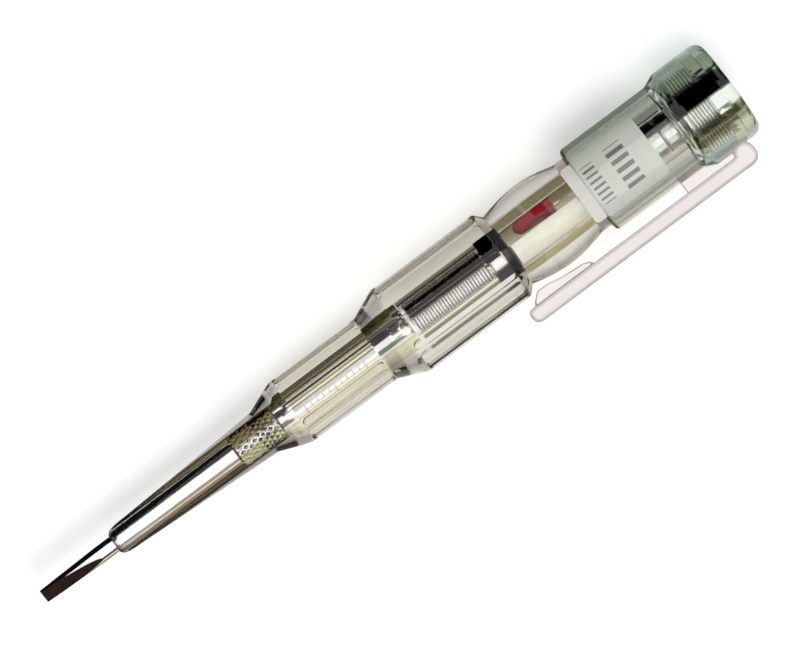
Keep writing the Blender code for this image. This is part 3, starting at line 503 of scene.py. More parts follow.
def lathe(outline, steps=TURNED_STEPS, ring=False):
    """A line of (x, radius) points in millimetres, closed for a ring, spun about the tool's axis."""
    bm = bmesh.new()
    verts = [bm.verts.new((x * MM, 0, radius * MM)) for x, radius in outline]
    edges = [bm.edges.new(pair) for pair in zip(verts, verts[1:])]
    if ring:
        edges.append(bm.edges.new((verts[-1], verts[0])))
    bmesh.ops.spin(
        bm, geom=verts + edges, cent=(0, 0, 0), axis=(1, 0, 0), angle=2 * pi, steps=steps, use_merge=True,
    )
    bmesh.ops.remove_doubles(bm, verts=bm.verts, dist=MERGE_DISTANCE)
    bmesh.ops.recalc_face_normals(bm, faces=bm.faces)
    return bm


def corner(x, radius, size, start, end, points=6):
    """Points of a quarter round with its middle at (x, radius), between two angles in degrees."""
    turns = [radians(start + (end - start) * i / points) for i in range(points + 1)]
    return [(x + size * cos(a), radius + size * sin(a)) for a in turns]


def tube(start, end, inner, outer, steps=SMALL_TURNED_STEPS):
    """A thin tube round the tool's axis."""
    return lathe([(start, inner), (start, outer), (end, outer), (end, inner)], steps, ring=True)


def turned_piece(name, outline, body, finish, nodes, ring=False):
    """A small turned piece."""
    made = piece(name, lathe(outline, SMALL_TURNED_STEPS, ring), finish)
    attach(made, body)
    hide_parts(*nodes)


def cut_or_join(made, tools, operation, sharp):
    """Cuts the tools out of a piece or joins them to it, takes them away and shades the result."""
    for tool in tools:
        step = made.modifiers.new(tool.name, "BOOLEAN")
        step.operation = operation
        step.object = tool
        step.solver = "EXACT"
    graph = bpy.context.evaluated_depsgraph_get()
    mesh = bpy.data.meshes.new_from_object(made.evaluated_get(graph))
    mesh.shade_smooth()
    mesh.set_sharp_from_angle(angle=radians(sharp))
    made.modifiers.clear()
    made.data = mesh
    for tool in tools:
        bpy.data.objects.remove(tool)


def turn_form(bm, angle):
    """Turns a form about the tool's axis."""
    bmesh.ops.rotate(bm, verts=bm.verts, cent=(0, 0, 0), matrix=Matrix.Rotation(angle, 3, "X"))


# ---------------------------------------------------------------- handle

NOSE_X, FLARE_X, FRONT_GRIP_X, REAR_FLARE_X = 14.4, 44.9, 50.2, 67.6
REAR_GRIP_X, NECK_X, WINDOW_X, TUBE_X, TUBE_END = 72.7, 93.3, 94.6, 108.7, 129.0
FRONT_RADIUS, REAR_RADIUS, TUBE_RADIUS = 6.04, 8.21, 6.75
FRONT_FLAT, REAR_FLAT = 5.55, 7.55
WINDOW_RISE = 1.08
SHANK_END = 74.4
SPRING_BORE, CHAMBER = 2.95, 3.55
SHOULDER_X = 93.4
HANDLE_SHARP = 14
FLATS, FLAT_TURN, FLAT_SHARE, FLAT_CORNER = 8, radians(2), 0.88, 0.8
TICKS, TICK_STEP, LONG_TICK, SHORT_TICK, TICK_WIDTH = 11, 1.2, 1.9, 1.2, 0.34
NOSE_STEPS, WINDOW_STEPS = 16, 40


def handle_outline():
    """The outside from the nose to the rear, then the stepped bore.

    A ring by each end of a long straight keeps its shading straight.
    """
    line = [(NOSE_X, 0.0), (NOSE_X, 1.62)] + corner(NOSE_X + 0.28, 1.66, 0.28, 180, 100, 4)
    for i in range(1, NOSE_STEPS + 1):
        u = i / NOSE_STEPS
        line.append((14.7 + 3.6 * u * u, 1.95 + 0.65 * sin(u * pi / 2)))
    line += [
        (18.6, 2.615), (FLARE_X - 0.6, 3.915), (FLARE_X - 0.3, 3.93), (FLARE_X, 3.96), (FLARE_X + 0.3, 4.07),
        (FLARE_X + 0.5, 4.15), (FRONT_GRIP_X - 0.45, 5.87), (FRONT_GRIP_X - 0.25, 5.95),
        (FRONT_GRIP_X, 6.02), (FRONT_GRIP_X + 0.25, FRONT_RADIUS), (FRONT_GRIP_X + 0.5, FRONT_RADIUS),
        (REAR_FLARE_X - 0.1, FRONT_RADIUS), (REAR_FLARE_X, FRONT_RADIUS), (REAR_FLARE_X + 0.25, 6.1),
        (REAR_FLARE_X + 0.45, 6.186), (REAR_GRIP_X - 0.5, 8.013), (REAR_GRIP_X - 0.3, 8.1),
        (REAR_GRIP_X, 8.18), (REAR_GRIP_X + 0.3, REAR_RADIUS), (REAR_GRIP_X + 0.6, REAR_RADIUS),
        (NECK_X - 0.5, REAR_RADIUS), (NECK_X - 0.25, REAR_RADIUS), (NECK_X, 8.1), (WINDOW_X - 0.12, 6.85),
    ]
    for i in range(WINDOW_STEPS + 1):
        u = i / WINDOW_STEPS
        line.append((WINDOW_X + (TUBE_X - WINDOW_X) * u, 6.8 - 0.05 * u + WINDOW_RISE * sin(pi * u)))
    line += [
        (TUBE_X + 0.3, TUBE_RADIUS), (TUBE_END - 0.4, TUBE_RADIUS), (TUBE_END, TUBE_RADIUS - 0.4),
        (TUBE_END, CHAMBER), (SHOULDER_X, CHAMBER), (SHOULDER_X, SPRING_BORE), (SHANK_END, SPRING_BORE),
        (SHANK_END, 0.0),
    ]
    return line


def flat_cutter(start, end, flat):
    """A block that cuts one long flat with rounded ends into a grip. Its flat faces +Z."""
    half_width = flat * tan(pi / FLATS) * FLAT_SHARE * MM
    bm = bmesh.new()
    bmesh.ops.create_cube(bm, size=1.0)
    bmesh.ops.scale(bm, verts=bm.verts, vec=((end - start) * MM, 2 * half_width, 2.0 * MM))
    middle = ((start + end) / 2 * MM, 0, flat * MM + 1.0 * MM)
    bmesh.ops.translate(bm, verts=bm.verts, vec=middle)
    upright = [e for e in bm.edges if abs(e.verts[0].co.z - e.verts[1].co.z) > 1.0 * MM]
    bmesh.ops.bevel(
        bm, geom=upright, offset=FLAT_CORNER * MM, offset_type="OFFSET", segments=5,
        profile=0.5, affect="EDGES", material=-1,
    )
    return bm


def raised_ticks():
    """A plain scale of raised ticks on the front grip's upper flat, every fifth one longer."""
    bm = bmesh.new()
    for i in range(TICKS):
        length = LONG_TICK if i % 5 == 0 else SHORT_TICK
        new = bmesh.ops.create_cube(bm, size=1.0)["verts"]
        bmesh.ops.scale(bm, verts=new, vec=(TICK_WIDTH * MM, length * MM, 0.4 * MM))
        x = FRONT_GRIP_X + 2.6 + i * TICK_STEP
        across = (LONG_TICK - length) / 2
        bmesh.ops.translate(bm, verts=new, vec=(x * MM, across * MM, (FRONT_FLAT - 0.08) * MM))
    upright = [e for e in bm.edges if abs(e.verts[0].co.z - e.verts[1].co.z) > 0.1 * MM]
    bmesh.ops.bevel(
        bm, geom=upright, offset=0.1 * MM, offset_type="OFFSET", segments=3, profile=0.5,
        affect="EDGES", material=-1,
    )
    return bm


def make_handle(finish):
    """The clear moulding: a round body whose grips have eight long flats each."""
    body = piece("handle_moulding", lathe(handle_outline()), finish)
    cutters = []
    for start, end, flat in (
        (FRONT_GRIP_X + 0.65, REAR_FLARE_X - 0.2, FRONT_FLAT),
        (REAR_GRIP_X + 0.2, NECK_X - 0.2, REAR_FLAT),
    ):
        for side in range(FLATS):
            bm = flat_cutter(start, end, flat)
            turn_form(bm, side * 2 * pi / FLATS + FLAT_TURN)
            cutters.append(piece("flat_cutter", bm))
    cut_or_join(body, cutters, "DIFFERENCE", HANDLE_SHARP)
    cut_or_join(body, [piece("raised_ticks", raised_ticks())], "UNION", HANDLE_SHARP)
    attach(body, "handle")
    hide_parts("handle")


EDGE_LINE_X, EDGE_LINE_REACH, EDGE_LINE_TURN = 58.9, 5.6, radians(26)
EDGE_LINE_HALF = (9.0, 0.17, 0.015)


def painted_edge_line():
    """A sheet that carries a painted dark reflection just under the edge between two flats of the front
    grip.
    """
    bm = bmesh.new()
    bmesh.ops.create_cube(bm, size=2.0)
    for vert in bm.verts:
        x, across, out = (value * half for value, half in zip(vert.co, EDGE_LINE_HALF))
        out += EDGE_LINE_REACH
        vert.co = Vector((
            EDGE_LINE_X + x, out * sin(EDGE_LINE_TURN) + across * cos(EDGE_LINE_TURN),
            out * cos(EDGE_LINE_TURN) - across * sin(EDGE_LINE_TURN),
        )) * MM
    return bm


def film_in_handle(name, bm, finish):
    """A film that the clear handle encloses."""
    core = piece(name, bm, finish)
    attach(core, "handle")


def make_core(finish, head_finish):
    """Films in the clear plastic that carry painted shade and reflections: round the shank, the spring, the
    chamber, the cells and the plug, and a painted dark line under an edge.
    """
    shank = [
        (15.3, 1.55), (15.7, 1.62), (18.3, 1.78), (30.0, 2.0), (49.3, 2.12), (50.2, 2.62), (67.6, 2.7),
        (71.5, 2.9), (74.2, 2.9), (74.3, 2.7), (74.3, 1.55),
    ]
    film_in_handle("core_round_shank", lathe(shank, SMALL_TURNED_STEPS, ring=True), finish)
    film_in_handle("core_round_spring", tube(75.2, 93.2, 2.98, 3.04), finish)
    film_in_handle("core_in_window", tube(WINDOW_X + 0.6, TUBE_X - 0.1, 3.51, 3.54), finish)
    film_in_handle("core_round_cells", tube(122.6, 128.7, 3.51, 3.54), finish)
    core = piece("core_round_plug", tube(129.8, 139.3, 5.74, 5.78, TURNED_STEPS), head_finish)
    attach(core, "cap")
    film_in_handle("painted_line_under_edge", painted_edge_line(), finish)


# ---------------------------------------------------------------- blade

SHANK_RADIUS, BLADE_GRIND = 1.5, 11.4
EDGE_HALF_WIDTH, EDGE_HALF_THICKNESS = 1.2, 0.3
KNURL_X, KNURL_LENGTH, KNURL_RADIUS, KNURL_DEPTH = 39.4, 8.8, 2.0, 0.32
KNURL_AROUND, KNURL_ALONG, DIAMOND_STEPS = 14, 5, 12
BLADE_TURN = radians(20)


def saw(value):
    """0 at whole numbers and 1 halfway between them."""
    return 1 - abs(2 * (value % 1) - 1)


def make_blade(finish, ground_finish):
    """The shank, ground to a wedge at its end, with a band of diamond knurling."""
    rows = KNURL_ALONG * DIAMOND_STEPS
    base = KNURL_RADIUS - KNURL_DEPTH
    line = [(0, 0), (0, EDGE_HALF_WIDTH), (BLADE_GRIND, SHANK_RADIUS), (KNURL_X - 0.25, SHANK_RADIUS)]
    line += [(KNURL_X + KNURL_LENGTH * row / rows, base) for row in range(rows + 1)]
    line += [(KNURL_X + KNURL_LENGTH + 0.25, SHANK_RADIUS), (SHANK_END - 0.6, SHANK_RADIUS)]
    line += corner(SHANK_END - 0.3, SHANK_RADIUS - 0.3, 0.3, 90, 0, 4) + [(SHANK_END, 0)]
    bm = lathe(line, KNURL_AROUND * DIAMOND_STEPS)
    for vert in bm.verts:
        share = (vert.co.x / MM - KNURL_X) / KNURL_LENGTH
        if not 0.002 < share < 0.998:
            continue
        around = atan2(vert.co.z, vert.co.y) / (2 * pi) * KNURL_AROUND
        along = share * KNURL_ALONG
        height = min(saw(around + along), saw(around - along)) ** 0.8
        lift = (base + KNURL_DEPTH * height) / base
        vert.co.y *= lift
        vert.co.z *= lift
    slope = (SHANK_RADIUS - EDGE_HALF_THICKNESS) / BLADE_GRIND
    for side in (1, -1):
        geom = list(bm.verts) + list(bm.edges) + list(bm.faces)
        cut = bmesh.ops.bisect_plane(
            bm, geom=geom, plane_co=(0, 0, side * EDGE_HALF_THICKNESS * MM),
            plane_no=Vector((-slope, 0, side)).normalized(), clear_outer=True,
        )["geom_cut"]
        edges = [e for e in cut if isinstance(e, bmesh.types.BMEdge)]
        for face in bmesh.ops.edgeloop_fill(bm, edges=edges)["faces"]:
            face.material_index = 1
    bmesh.ops.remove_doubles(bm, verts=bm.verts, dist=MERGE_DISTANCE)
    bmesh.ops.recalc_face_normals(bm, faces=bm.faces)
    turn_form(bm, BLADE_TURN)
    blade = piece("blade_ground", bm, finish, 25)
    blade.data.materials.append(ground_finish)
    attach(blade, "handle")
    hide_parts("blade")


# ---------------------------------------------------------------- insides

SPRING_TURNS, SPRING_START, SPRING_END = 27, 75.05, 90.35
SPRING_MIDDLE, SPRING_WIRE, POINTS_A_TURN = 2.5, 0.24, 24


def helix_spring(finish):
    """Contact spring between the bore's step and the cup, wound closer at its ends."""
    path = bpy.data.curves.new("contact_spring_wound", "CURVE")
    path.dimensions = "3D"
    path.bevel_depth = SPRING_WIRE * MM
    path.bevel_resolution = 2
    path.use_fill_caps = True
    spline = path.splines.new("POLY")
    count = SPRING_TURNS * POINTS_A_TURN
    spline.points.add(count)
    for i in range(count + 1):
        u = i / count
        from_end = min(u, 1 - u) * SPRING_TURNS
        squeeze = 1.0 if from_end > 1.5 else 0.45 + 0.55 * from_end / 1.5
        share = u + (squeeze - 1) * 0.012 * (1 if u < 0.5 else -1)
        lead = SPRING_START + SPRING_WIRE + (SPRING_END - SPRING_START - 2 * SPRING_WIRE) * share
        a = 2 * pi * SPRING_TURNS * u
        spline.points[i].co = (lead * MM, SPRING_MIDDLE * MM * sin(a), SPRING_MIDDLE * MM * cos(a), 1)
    curve = bpy.data.objects.new("spring_curve", path)
    bpy.context.scene.collection.objects.link(curve)
    graph = bpy.context.evaluated_depsgraph_get()
    mesh = bpy.data.meshes.new_from_object(curve.evaluated_get(graph))
    bpy.data.objects.remove(curve)
    mesh.shade_smooth()
    mesh.materials.clear()
    spring = link("contact_spring_wound", mesh, finish)
    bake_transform(spring)
    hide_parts("contact_spring")


def make_cup(finish):
    """Drawn metal cup with a flange, pushed by the spring."""
    outline = [(90.7, 0.0), (90.7, 2.35)] + corner(91.1, 2.35, 0.4, 180, 90, 4)[1:]
    outline += [(93.55, 2.75), (93.7, 2.9), (93.7, 3.2), (93.75, 3.25), (94.05, 3.25), (94.1, 3.2)]
    outline += [(94.1, 2.5), (91.1, 2.4), (91.1, 0.0)]
    turned_piece("front_contact_cup", outline, "cell_stack", finish, ["front_contact"])


def make_washer(finish):
    """Black ring between the cup and the carrier."""
    outline = [(94.4, 1.0), (94.4, 3.4), (94.5, 3.5), (95.1, 3.5), (95.2, 3.4), (95.2, 1.0)]
    turned_piece(
        "insulating_washer_ring", outline, "cell_stack", finish, ["insulating_washer"],
        ring=True,
    )


def make_disc(finish):
    """Brass disc with a dimple that presses on the front cell."""
    outline = [
        (122.4, 0.0), (122.4, 3.1), (122.5, 3.2), (122.7, 3.2), (122.8, 3.1), (122.8, 0.9), (122.9, 0.7),
        (122.9, 0.0),
    ]
    turned_piece("cell_contact_disc", outline, "cell_stack", finish, ["cell_contact"])


LAMP_X, LAMP_SIDE, LAMP_TILT = 97.7, 2.05, radians(-2.5)
CARRIER_X, CARRIER_END, CARRIER_RADIUS = 95.5, 122.1, 3.4


def make_lamp(finish):
    """Domed lamp with a narrow rim at its foot, tilted a little in its recess."""
    line = corner(1.36, 0.0, 1.36, 180, 90, 12)
    line += [(5.7, 1.37), (5.85, 1.42), (5.9, 1.47), (6.6, 1.47), (6.7, 1.4), (6.7, 0.0)]
    bm = lathe(line)
    place = Matrix.Rotation(INSIDE_TURN, 4, "X") @ Matrix.Translation((LAMP_X * MM, LAMP_SIDE * MM, 0))
    bmesh.ops.transform(bm, matrix=place @ Matrix.Rotation(LAMP_TILT, 4, "Z"), verts=bm.verts)
    lamp = piece("indicator_lamp_lens", bm, finish)
    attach(lamp, "cell_stack")
    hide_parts("indicator_lamp")


def block(low, high, name):
    """A block between two corners in millimetres, turned with the insides."""
    bm = bmesh.new()
    bmesh.ops.create_cube(bm, size=1.0)
    bmesh.ops.scale(bm, verts=bm.verts, vec=[(b - a) * MM for a, b in zip(low, high)])
    bmesh.ops.translate(bm, verts=bm.verts, vec=[(a + b) / 2 * MM for a, b in zip(low, high)])
    turn_form(bm, INSIDE_TURN)
    return piece(name, bm)


def make_carrier(finish):
    """Half-round white bar, raised under the lamp, with a pocket for the transistor and an end wall."""
    rim = CARRIER_RADIUS - 0.1
    line = [
        (CARRIER_X, 0.0), (CARRIER_X, rim), (CARRIER_X + 0.1, CARRIER_RADIUS),
        (CARRIER_END - 0.1, CARRIER_RADIUS), (CARRIER_END, rim), (CARRIER_END, 0.0),
    ]
    carrier = piece("lamp_carrier_moulding", lathe(line), finish)
    tools = [
        block((CARRIER_X - 1, 0.3, -5), (TUBE_X - 0.2, 5, 5), "above_lamp"),
        block((TUBE_X - 0.3, -0.5, -5), (CARRIER_END - 0.7, 5, 5), "above_parts"),
        block((TUBE_X, -1.9, -5), (TUBE_X + 6.4, 1, 5), "pocket"),
    ]
    cut_or_join(carrier, tools, "DIFFERENCE", 30)
    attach(carrier, "cell_stack")
    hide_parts("lamp_carrier")


LABEL_START, LABEL_END, LABEL_HALF_TURN = 108.7, 123.4, radians(50)
LABEL_INNER, LABEL_OUTER, LABEL_CORNER = 6.79, 6.88, 0.7
LABEL_ROWS, LABEL_COLUMNS = 40, 48


def make_label(finish):
    """A thin sheet bent round the tube, with rounded corners."""
    bm = bmesh.new()
    grid = []
    for row in range(LABEL_ROWS + 1):
        x = LABEL_START + (LABEL_END - LABEL_START) * row / LABEL_ROWS
        gap = LABEL_CORNER - min(x - LABEL_START, LABEL_END - x, LABEL_CORNER)
        drawn_in = LABEL_CORNER - sqrt(max(0.0, LABEL_CORNER ** 2 - gap ** 2))
        half = LABEL_HALF_TURN - drawn_in / LABEL_OUTER
        turns = [half * (2 * i / LABEL_COLUMNS - 1) for i in range(LABEL_COLUMNS + 1)]
        line = []
        for radius in (LABEL_INNER, LABEL_OUTER):
            line.append([bm.verts.new((x * MM, radius * MM * sin(a), radius * MM * cos(a))) for a in turns])
        grid.append(line)
    for a, b in zip(grid, grid[1:]):
        for layer in (0, 1):
            for i in range(LABEL_COLUMNS):
                bm.faces.new((a[layer][i], a[layer][i + 1], b[layer][i + 1], b[layer][i]))
        for i in (0, LABEL_COLUMNS):
            bm.faces.new((a[0][i], a[1][i], b[1][i], b[0][i]))
    for line in (grid[0], grid[-1]):
        for i in range(LABEL_COLUMNS):
            bm.faces.new((line[0][i], line[0][i + 1], line[1][i + 1], line[1][i]))
    bmesh.ops.recalc_face_normals(bm, faces=bm.faces)
    turn_form(bm, INSIDE_TURN)
    label = piece("label_sheet", bm, finish)
    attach(label, "handle")
    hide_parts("label")


# ---------------------------------------------------------------- cap

CAP_MOUTH, SLEEVE_RADIUS, HEAD_RADIUS, HEAD_ROUND_X = 110.8, 8.05, 9.035, 137.7
HEAD_ROUND_LENGTH, HEAD_ROUND_REACH, HEAD_ROUND_STEPS = 2.1, 1.535, 12


def cap_outline():
    """The head is solid round the plug, and the sleeve opens towards the window."""
    line = [(CAP_MOUTH, 7.15), (CAP_MOUTH, 7.3)] + corner(CAP_MOUTH + 0.75, 7.3, 0.75, 180, 90, 8)[1:]
    line += [
        (111.9, SLEEVE_RADIUS), (127.8, SLEEVE_RADIUS), (128.1, SLEEVE_RADIUS), (128.45, 8.13),
        (128.65, 8.224), (129.95, 8.836), (130.15, 8.93), (130.5, 9.01), (130.9, HEAD_RADIUS),
        (131.2, HEAD_RADIUS), (HEAD_ROUND_X - 0.3, HEAD_RADIUS),
    ]
    for i in range(HEAD_ROUND_STEPS + 1):
        a = pi / 2 * i / HEAD_ROUND_STEPS
        reach = HEAD_RADIUS - HEAD_ROUND_REACH * (1 - cos(a))
        line.append((HEAD_ROUND_X + HEAD_ROUND_LENGTH * sin(a), reach))
    line += [(139.8, 5.6), (139.7, 5.2), (139.7, 0.0), (129.4, 0.0), (129.4, 7.0), (129.25, 7.15)]
    return line


def make_cap(finish):
    """The tinted screw cap."""
    cap = piece("screw_cap_moulding", lathe(cap_outline(), ring=True), finish, 35)
    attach(cap, "cap")
    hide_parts("screw_cap")


THREAD_START, THREAD_TURNS, THREAD_PITCH = 130.5, 8, 0.575
THREAD_ROOT, THREAD_CREST = 4.84, 5.08
FLANGE_KNURL, FLANGE_KNURL_INNER, KNURL_CUT = (135.45, 137.55), 5.4, 0.99


def make_plug(finish):
    """Threaded metal plug with a knurled flange and the end that a finger touches."""
    line = [(128.6, 0.0), (128.6, 1.9), (128.9, 2.2), (129.9, 2.2), (130.3, 2.6), (130.3, 4.6)]
    for i in range(THREAD_TURNS):
        x = THREAD_START + i * THREAD_PITCH
        line += [(x, THREAD_ROOT), (x + 0.2, THREAD_CREST), (x + 0.28, THREAD_CREST), (x + 0.5, THREAD_ROOT)]
    line += [(135.4, 4.8), (135.4, 5.5), (135.5, 5.6), (137.5, 5.6), (137.6, 5.5), (137.6, 5.0)]
    line += [(139.75, 4.97)] + corner(139.75, 4.72, 0.25, 90, 0, 4)[1:] + [(140.0, 0.0)]
    bm = lathe(line, TURNED_STEPS)
    for vert in bm.verts:
        x, reach = vert.co.x / MM, Vector((vert.co.y, vert.co.z)).length / MM
        if FLANGE_KNURL[0] < x < FLANGE_KNURL[1] and reach > FLANGE_KNURL_INNER:
            around = round(atan2(vert.co.z, vert.co.y) / (2 * pi) * TURNED_STEPS)
            if around % 4 in (0, 1):
                vert.co.y *= KNURL_CUT
                vert.co.z *= KNURL_CUT
    plug = piece("contact_plug_turned", bm, finish, 25)
    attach(plug, "cap")
    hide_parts("contact_plug")


# ---------------------------------------------------------------- clip

CLIP_FRONT, CLIP_INNER, CLIP_OUTER = 91.1, 10.0, 12.7
KNUCKLE_X, KNUCKLE_ROUND = 136.9, 1.8


def inset(outline, distance):
    """The outline drawn in by a distance. Its points run clockwise or the other way round."""
    count = len(outline)
    area = sum(a[0] * b[1] - b[0] * a[1] for a, b in zip(outline, outline[1:] + outline[:1]))
    hand = 1 if area > 0 else -1
    drawn = []
    for i, point in enumerate(outline):
        normals = []
        for a, b in ((outline[i - 1], point), (point, outline[(i + 1) % count])):
            edge = Vector((b[0] - a[0], b[1] - a[1])).normalized()
            normals.append(Vector((-edge.y, edge.x)) * hand)
        both = normals[0] + normals[1]
        move = both * (distance / max(0.5, 1 + normals[0].dot(normals[1])))
        drawn.append((point[0] + move.x, point[1] + move.y))
    return drawn


def side_form(outline, half_width, edge_round, name, finish=None):
    """A side view of (x, reach) points in millimetres, drawn out across the clip, long edges rounded."""
    bm = bmesh.new()
    turns = [radians(90 * i / 5) for i in range(6)]
    quarter = [(half_width - edge_round + edge_round * sin(a), edge_round * (1 - cos(a))) for a in turns]
    layers = [(-across, drawn) for across, drawn in reversed(quarter)] + quarter
    rings = []
    for across, drawn in layers:
        points = inset(outline, drawn)
        rings.append([bm.verts.new((x * MM, -reach * MM, across * MM)) for x, reach in points])
    for a, b in zip(rings, rings[1:]):
        for i in range(len(outline)):
            k = (i + 1) % len(outline)
            bm.faces.new((a[i], a[k], b[k], b[i]))
    bm.faces.new(rings[0])
    bm.faces.new(rings[-1])
    bmesh.ops.recalc_face_normals(bm, faces=bm.faces)
    turn_form(bm, INSIDE_TURN)
    return piece(name, bm, finish)


def make_clip(finish):
    """Arm with a nub at its free end, a knuckle on the head and a web on the sleeve."""
    arm_line = corner(CLIP_FRONT + 0.9, CLIP_INNER + 0.9, 0.9, -90, -180, 6)
    arm_line += corner(CLIP_FRONT + 1.3, CLIP_OUTER - 1.3, 1.3, 180, 90, 6)
    arm_line += corner(KNUCKLE_X - KNUCKLE_ROUND, CLIP_OUTER - KNUCKLE_ROUND, KNUCKLE_ROUND, 90, 0, 8)
    arm_line += corner(KNUCKLE_X - KNUCKLE_ROUND, 10.35, KNUCKLE_ROUND, 0, -168, 14)
    arm_line.append((132.9, CLIP_INNER))
    nub_line = [
        (92.6, 11.0), (92.6, 10.1), (93.0, 9.5), (94.2, 8.35), (94.7, 8.18), (96.6, 8.2), (98.6, 8.62),
        (101.3, 8.9), (103.0, 8.98), (104.1, 9.35), (104.7, 10.0), (104.7, 11.0),
    ]
    web_line = [(123.7, 8.0), (128.3, 8.0), (130.4, 9.0), (134.9, 9.0), (134.9, 10.9), (123.7, 10.9)]
    arm = side_form(arm_line, 2.4, 0.85, "pocket_clip_moulding", finish)
    tools = [side_form(nub_line, 1.6, 0.35, "nub"), side_form(web_line, 1.5, 0.35, "web")]
    cut_or_join(arm, tools, "UNION", 32)
    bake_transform(arm)
    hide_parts("pocket_clip")


# ---------------------------------------------------------------- studio

# The cards' reach along the tool, and the distance of the wide and the close ones, in metres
STAGE_START, STAGE_END = -0.33, 0.47
WIDE, CLOSE = 0.5, 0.04
CARD_STEPS = 16

BLACK, BROWN = (0.004, 0.004, 0.004), (0.06, 0.032, 0.027)
TAN, CREAM = (0.34, 0.27, 0.17), (0.86, 0.82, 0.67)

# Curved cards: degrees from upright, with the clip's side positive, place along the tool, and distance
CURVED_CARDS = (
    ("far_card", (-47, -89), (STAGE_START, 0.035), WIDE, BLACK),
    ("far_taper_card", (-47, -89), (-0.02, 0.0475), CLOSE, BLACK),
    ("far_spring_card", (-47, -89), (0.069, 0.093), WIDE, BLACK),
    ("far_rear_card", (-27, -89), (0.093, 0.152), WIDE, BLACK),
    ("far_head_card", (-8, -89), (0.152, 0.22), WIDE, BLACK),
    ("far_flare_card", (-24, -89), (0.22, STAGE_END), WIDE, BLACK),
    ("near_brown_card", (54, 89), (STAGE_START, 0.0), WIDE, BROWN),
    ("near_nose_line", (54, 63), (0.0135, 0.022), CLOSE, BROWN),
    ("near_nose_card", (63, 89), (0.0135, 0.022), CLOSE, (0.5, 0.47, 0.47)),
    ("near_taper_card", (54, 89), (0.022, 0.0475), CLOSE, TAN),
    ("near_cream_card", (54, 89), (0.0, 0.093), WIDE, CREAM),
    ("near_rear_card", (56, 89), (0.093, 0.15), WIDE, (0.15, 0.165, 0.13)),
    ("near_head_card", (38, 89), (0.15, STAGE_END), WIDE, (0.19, 0.22, 0.18)),
    ("main_panel", (-47, 52), (STAGE_START, STAGE_END), 0.6, (1.1, 1.1, 1.1)),
)

# Flat cards on the floor: place across the tool, with the far side positive, and along it, in metres
LOW_CARDS = (
    ("far_floor_card", (0.006, 0.5), (STAGE_START, 0.0475), BLACK),
    ("far_rear_floor_card", (0.006, 0.5), (0.069, STAGE_END), BLACK),
    ("near_floor_tan", (-0.006, -0.5), (STAGE_START, 0.047), TAN),
    ("near_floor_cream", (-0.006, -0.5), (0.047, STAGE_END), CREAM),
)
CARDS_ON_TOP = (
    ("far_close_card", (0.005, 0.014), (0.042, 0.092), (0.22, 0.2, 0.15)),
    ("far_window_card", (0.005, 0.03), (0.092, 0.11), (0.2, 0.17, 0.085)),
    ("far_cap_card", (0.005, 0.022), (0.11, 0.129), (0.22, 0.24, 0.19)),
    ("far_head_floor_card", (0.005, 0.06), (0.129, 0.2), (0.32, 0.37, 0.31)),
    ("near_window_card", (-0.006, -0.03), (0.092, 0.11), (0.42, 0.39, 0.2)),
)


def stage_card(name, turns, along, radius, colour):
    """A curved card along the tool that mirrors and glass see and the camera doesn't."""
    bm = bmesh.new()
    start, end = turns
    steps = [radians(start + (end - start) * i / CARD_STEPS) for i in range(CARD_STEPS + 1)]
    middle = ALONG * along[0]
    verts = [bm.verts.new(UPWARD * cos(a) * radius + SIDEWAYS * sin(a) * radius + middle) for a in steps]
    edges = [bm.edges.new(pair) for pair in zip(verts, verts[1:])]
    new = bmesh.ops.extrude_edge_only(bm, edges=edges)["geom"]
    moved = [v for v in new if isinstance(v, bmesh.types.BMVert)]
    bmesh.ops.translate(bm, verts=moved, vec=ALONG * (along[1] - along[0]))
    hide_card(piece(name, bm, card_finish(name, colour, False)))


def floor_strip(name, side, along, height, colour):
    """A flat card beside the tool, seen only in mirrored light."""
    bm = bmesh.new()
    bmesh.ops.create_grid(bm, x_segments=1, y_segments=1, size=0.5)
    bmesh.ops.scale(bm, verts=bm.verts, vec=(along[1] - along[0], abs(side[1] - side[0]), 1))
    bmesh.ops.translate(bm, verts=bm.verts, vec=((along[0] + along[1]) / 2, (side[0] + side[1]) / 2, height))
    hide_card(piece(name, bm, card_finish(name, colour, True)))


def card_finish(name, colour, only_after_mirror):
    """A plain glow, or one that shows only after a mirror has turned the ray."""
    f = new_finish(name)
    glow = f.add("Emission", None, {"Color": colour, "Strength": 1.0})
    if not only_after_mirror:
        return f.finish(glow)
    mirrored = f.add("LightPath", output="Glossy Depth") > 0.5
    through = f.add("BsdfTransparent")
    return f.finish(f.add("MixShader", None, {0: mirrored, 1: through, 2: glow}))


def hide_card(card):
    """Leaves a card to mirrors and glass alone."""
    card.visible_camera = False
    card.visible_diffuse = False
    card.visible_shadow = False


def make_camera():
    """A long lens from the photo's side, with the tool across the picture as in the photo."""
    data = bpy.data.cameras.new("camera")
    data.sensor_width = SENSOR_WIDTH
    data.lens = SENSOR_WIDTH * CAMERA_DISTANCE / PICTURE_WIDTH
    data.clip_end = 10.0
    camera = bpy.data.objects.new("camera", data)
    right = ALONG * cos(TOOL_SLOPE) + SIDEWAYS * sin(TOOL_SLOPE)
    up = ALONG * sin(TOOL_SLOPE) - SIDEWAYS * cos(TOOL_SLOPE)
    target = ALONG * PICTURE_MIDDLE_X + SIDEWAYS * PICTURE_MIDDLE_SIDE
    turn = Matrix((right, up, UPWARD)).transposed().to_4x4()
    camera.matrix_world = Matrix.Translation(target + UPWARD * CAMERA_DISTANCE) @ turn
    bpy.context.scene.collection.objects.link(camera)
    bpy.context.scene.camera = camera


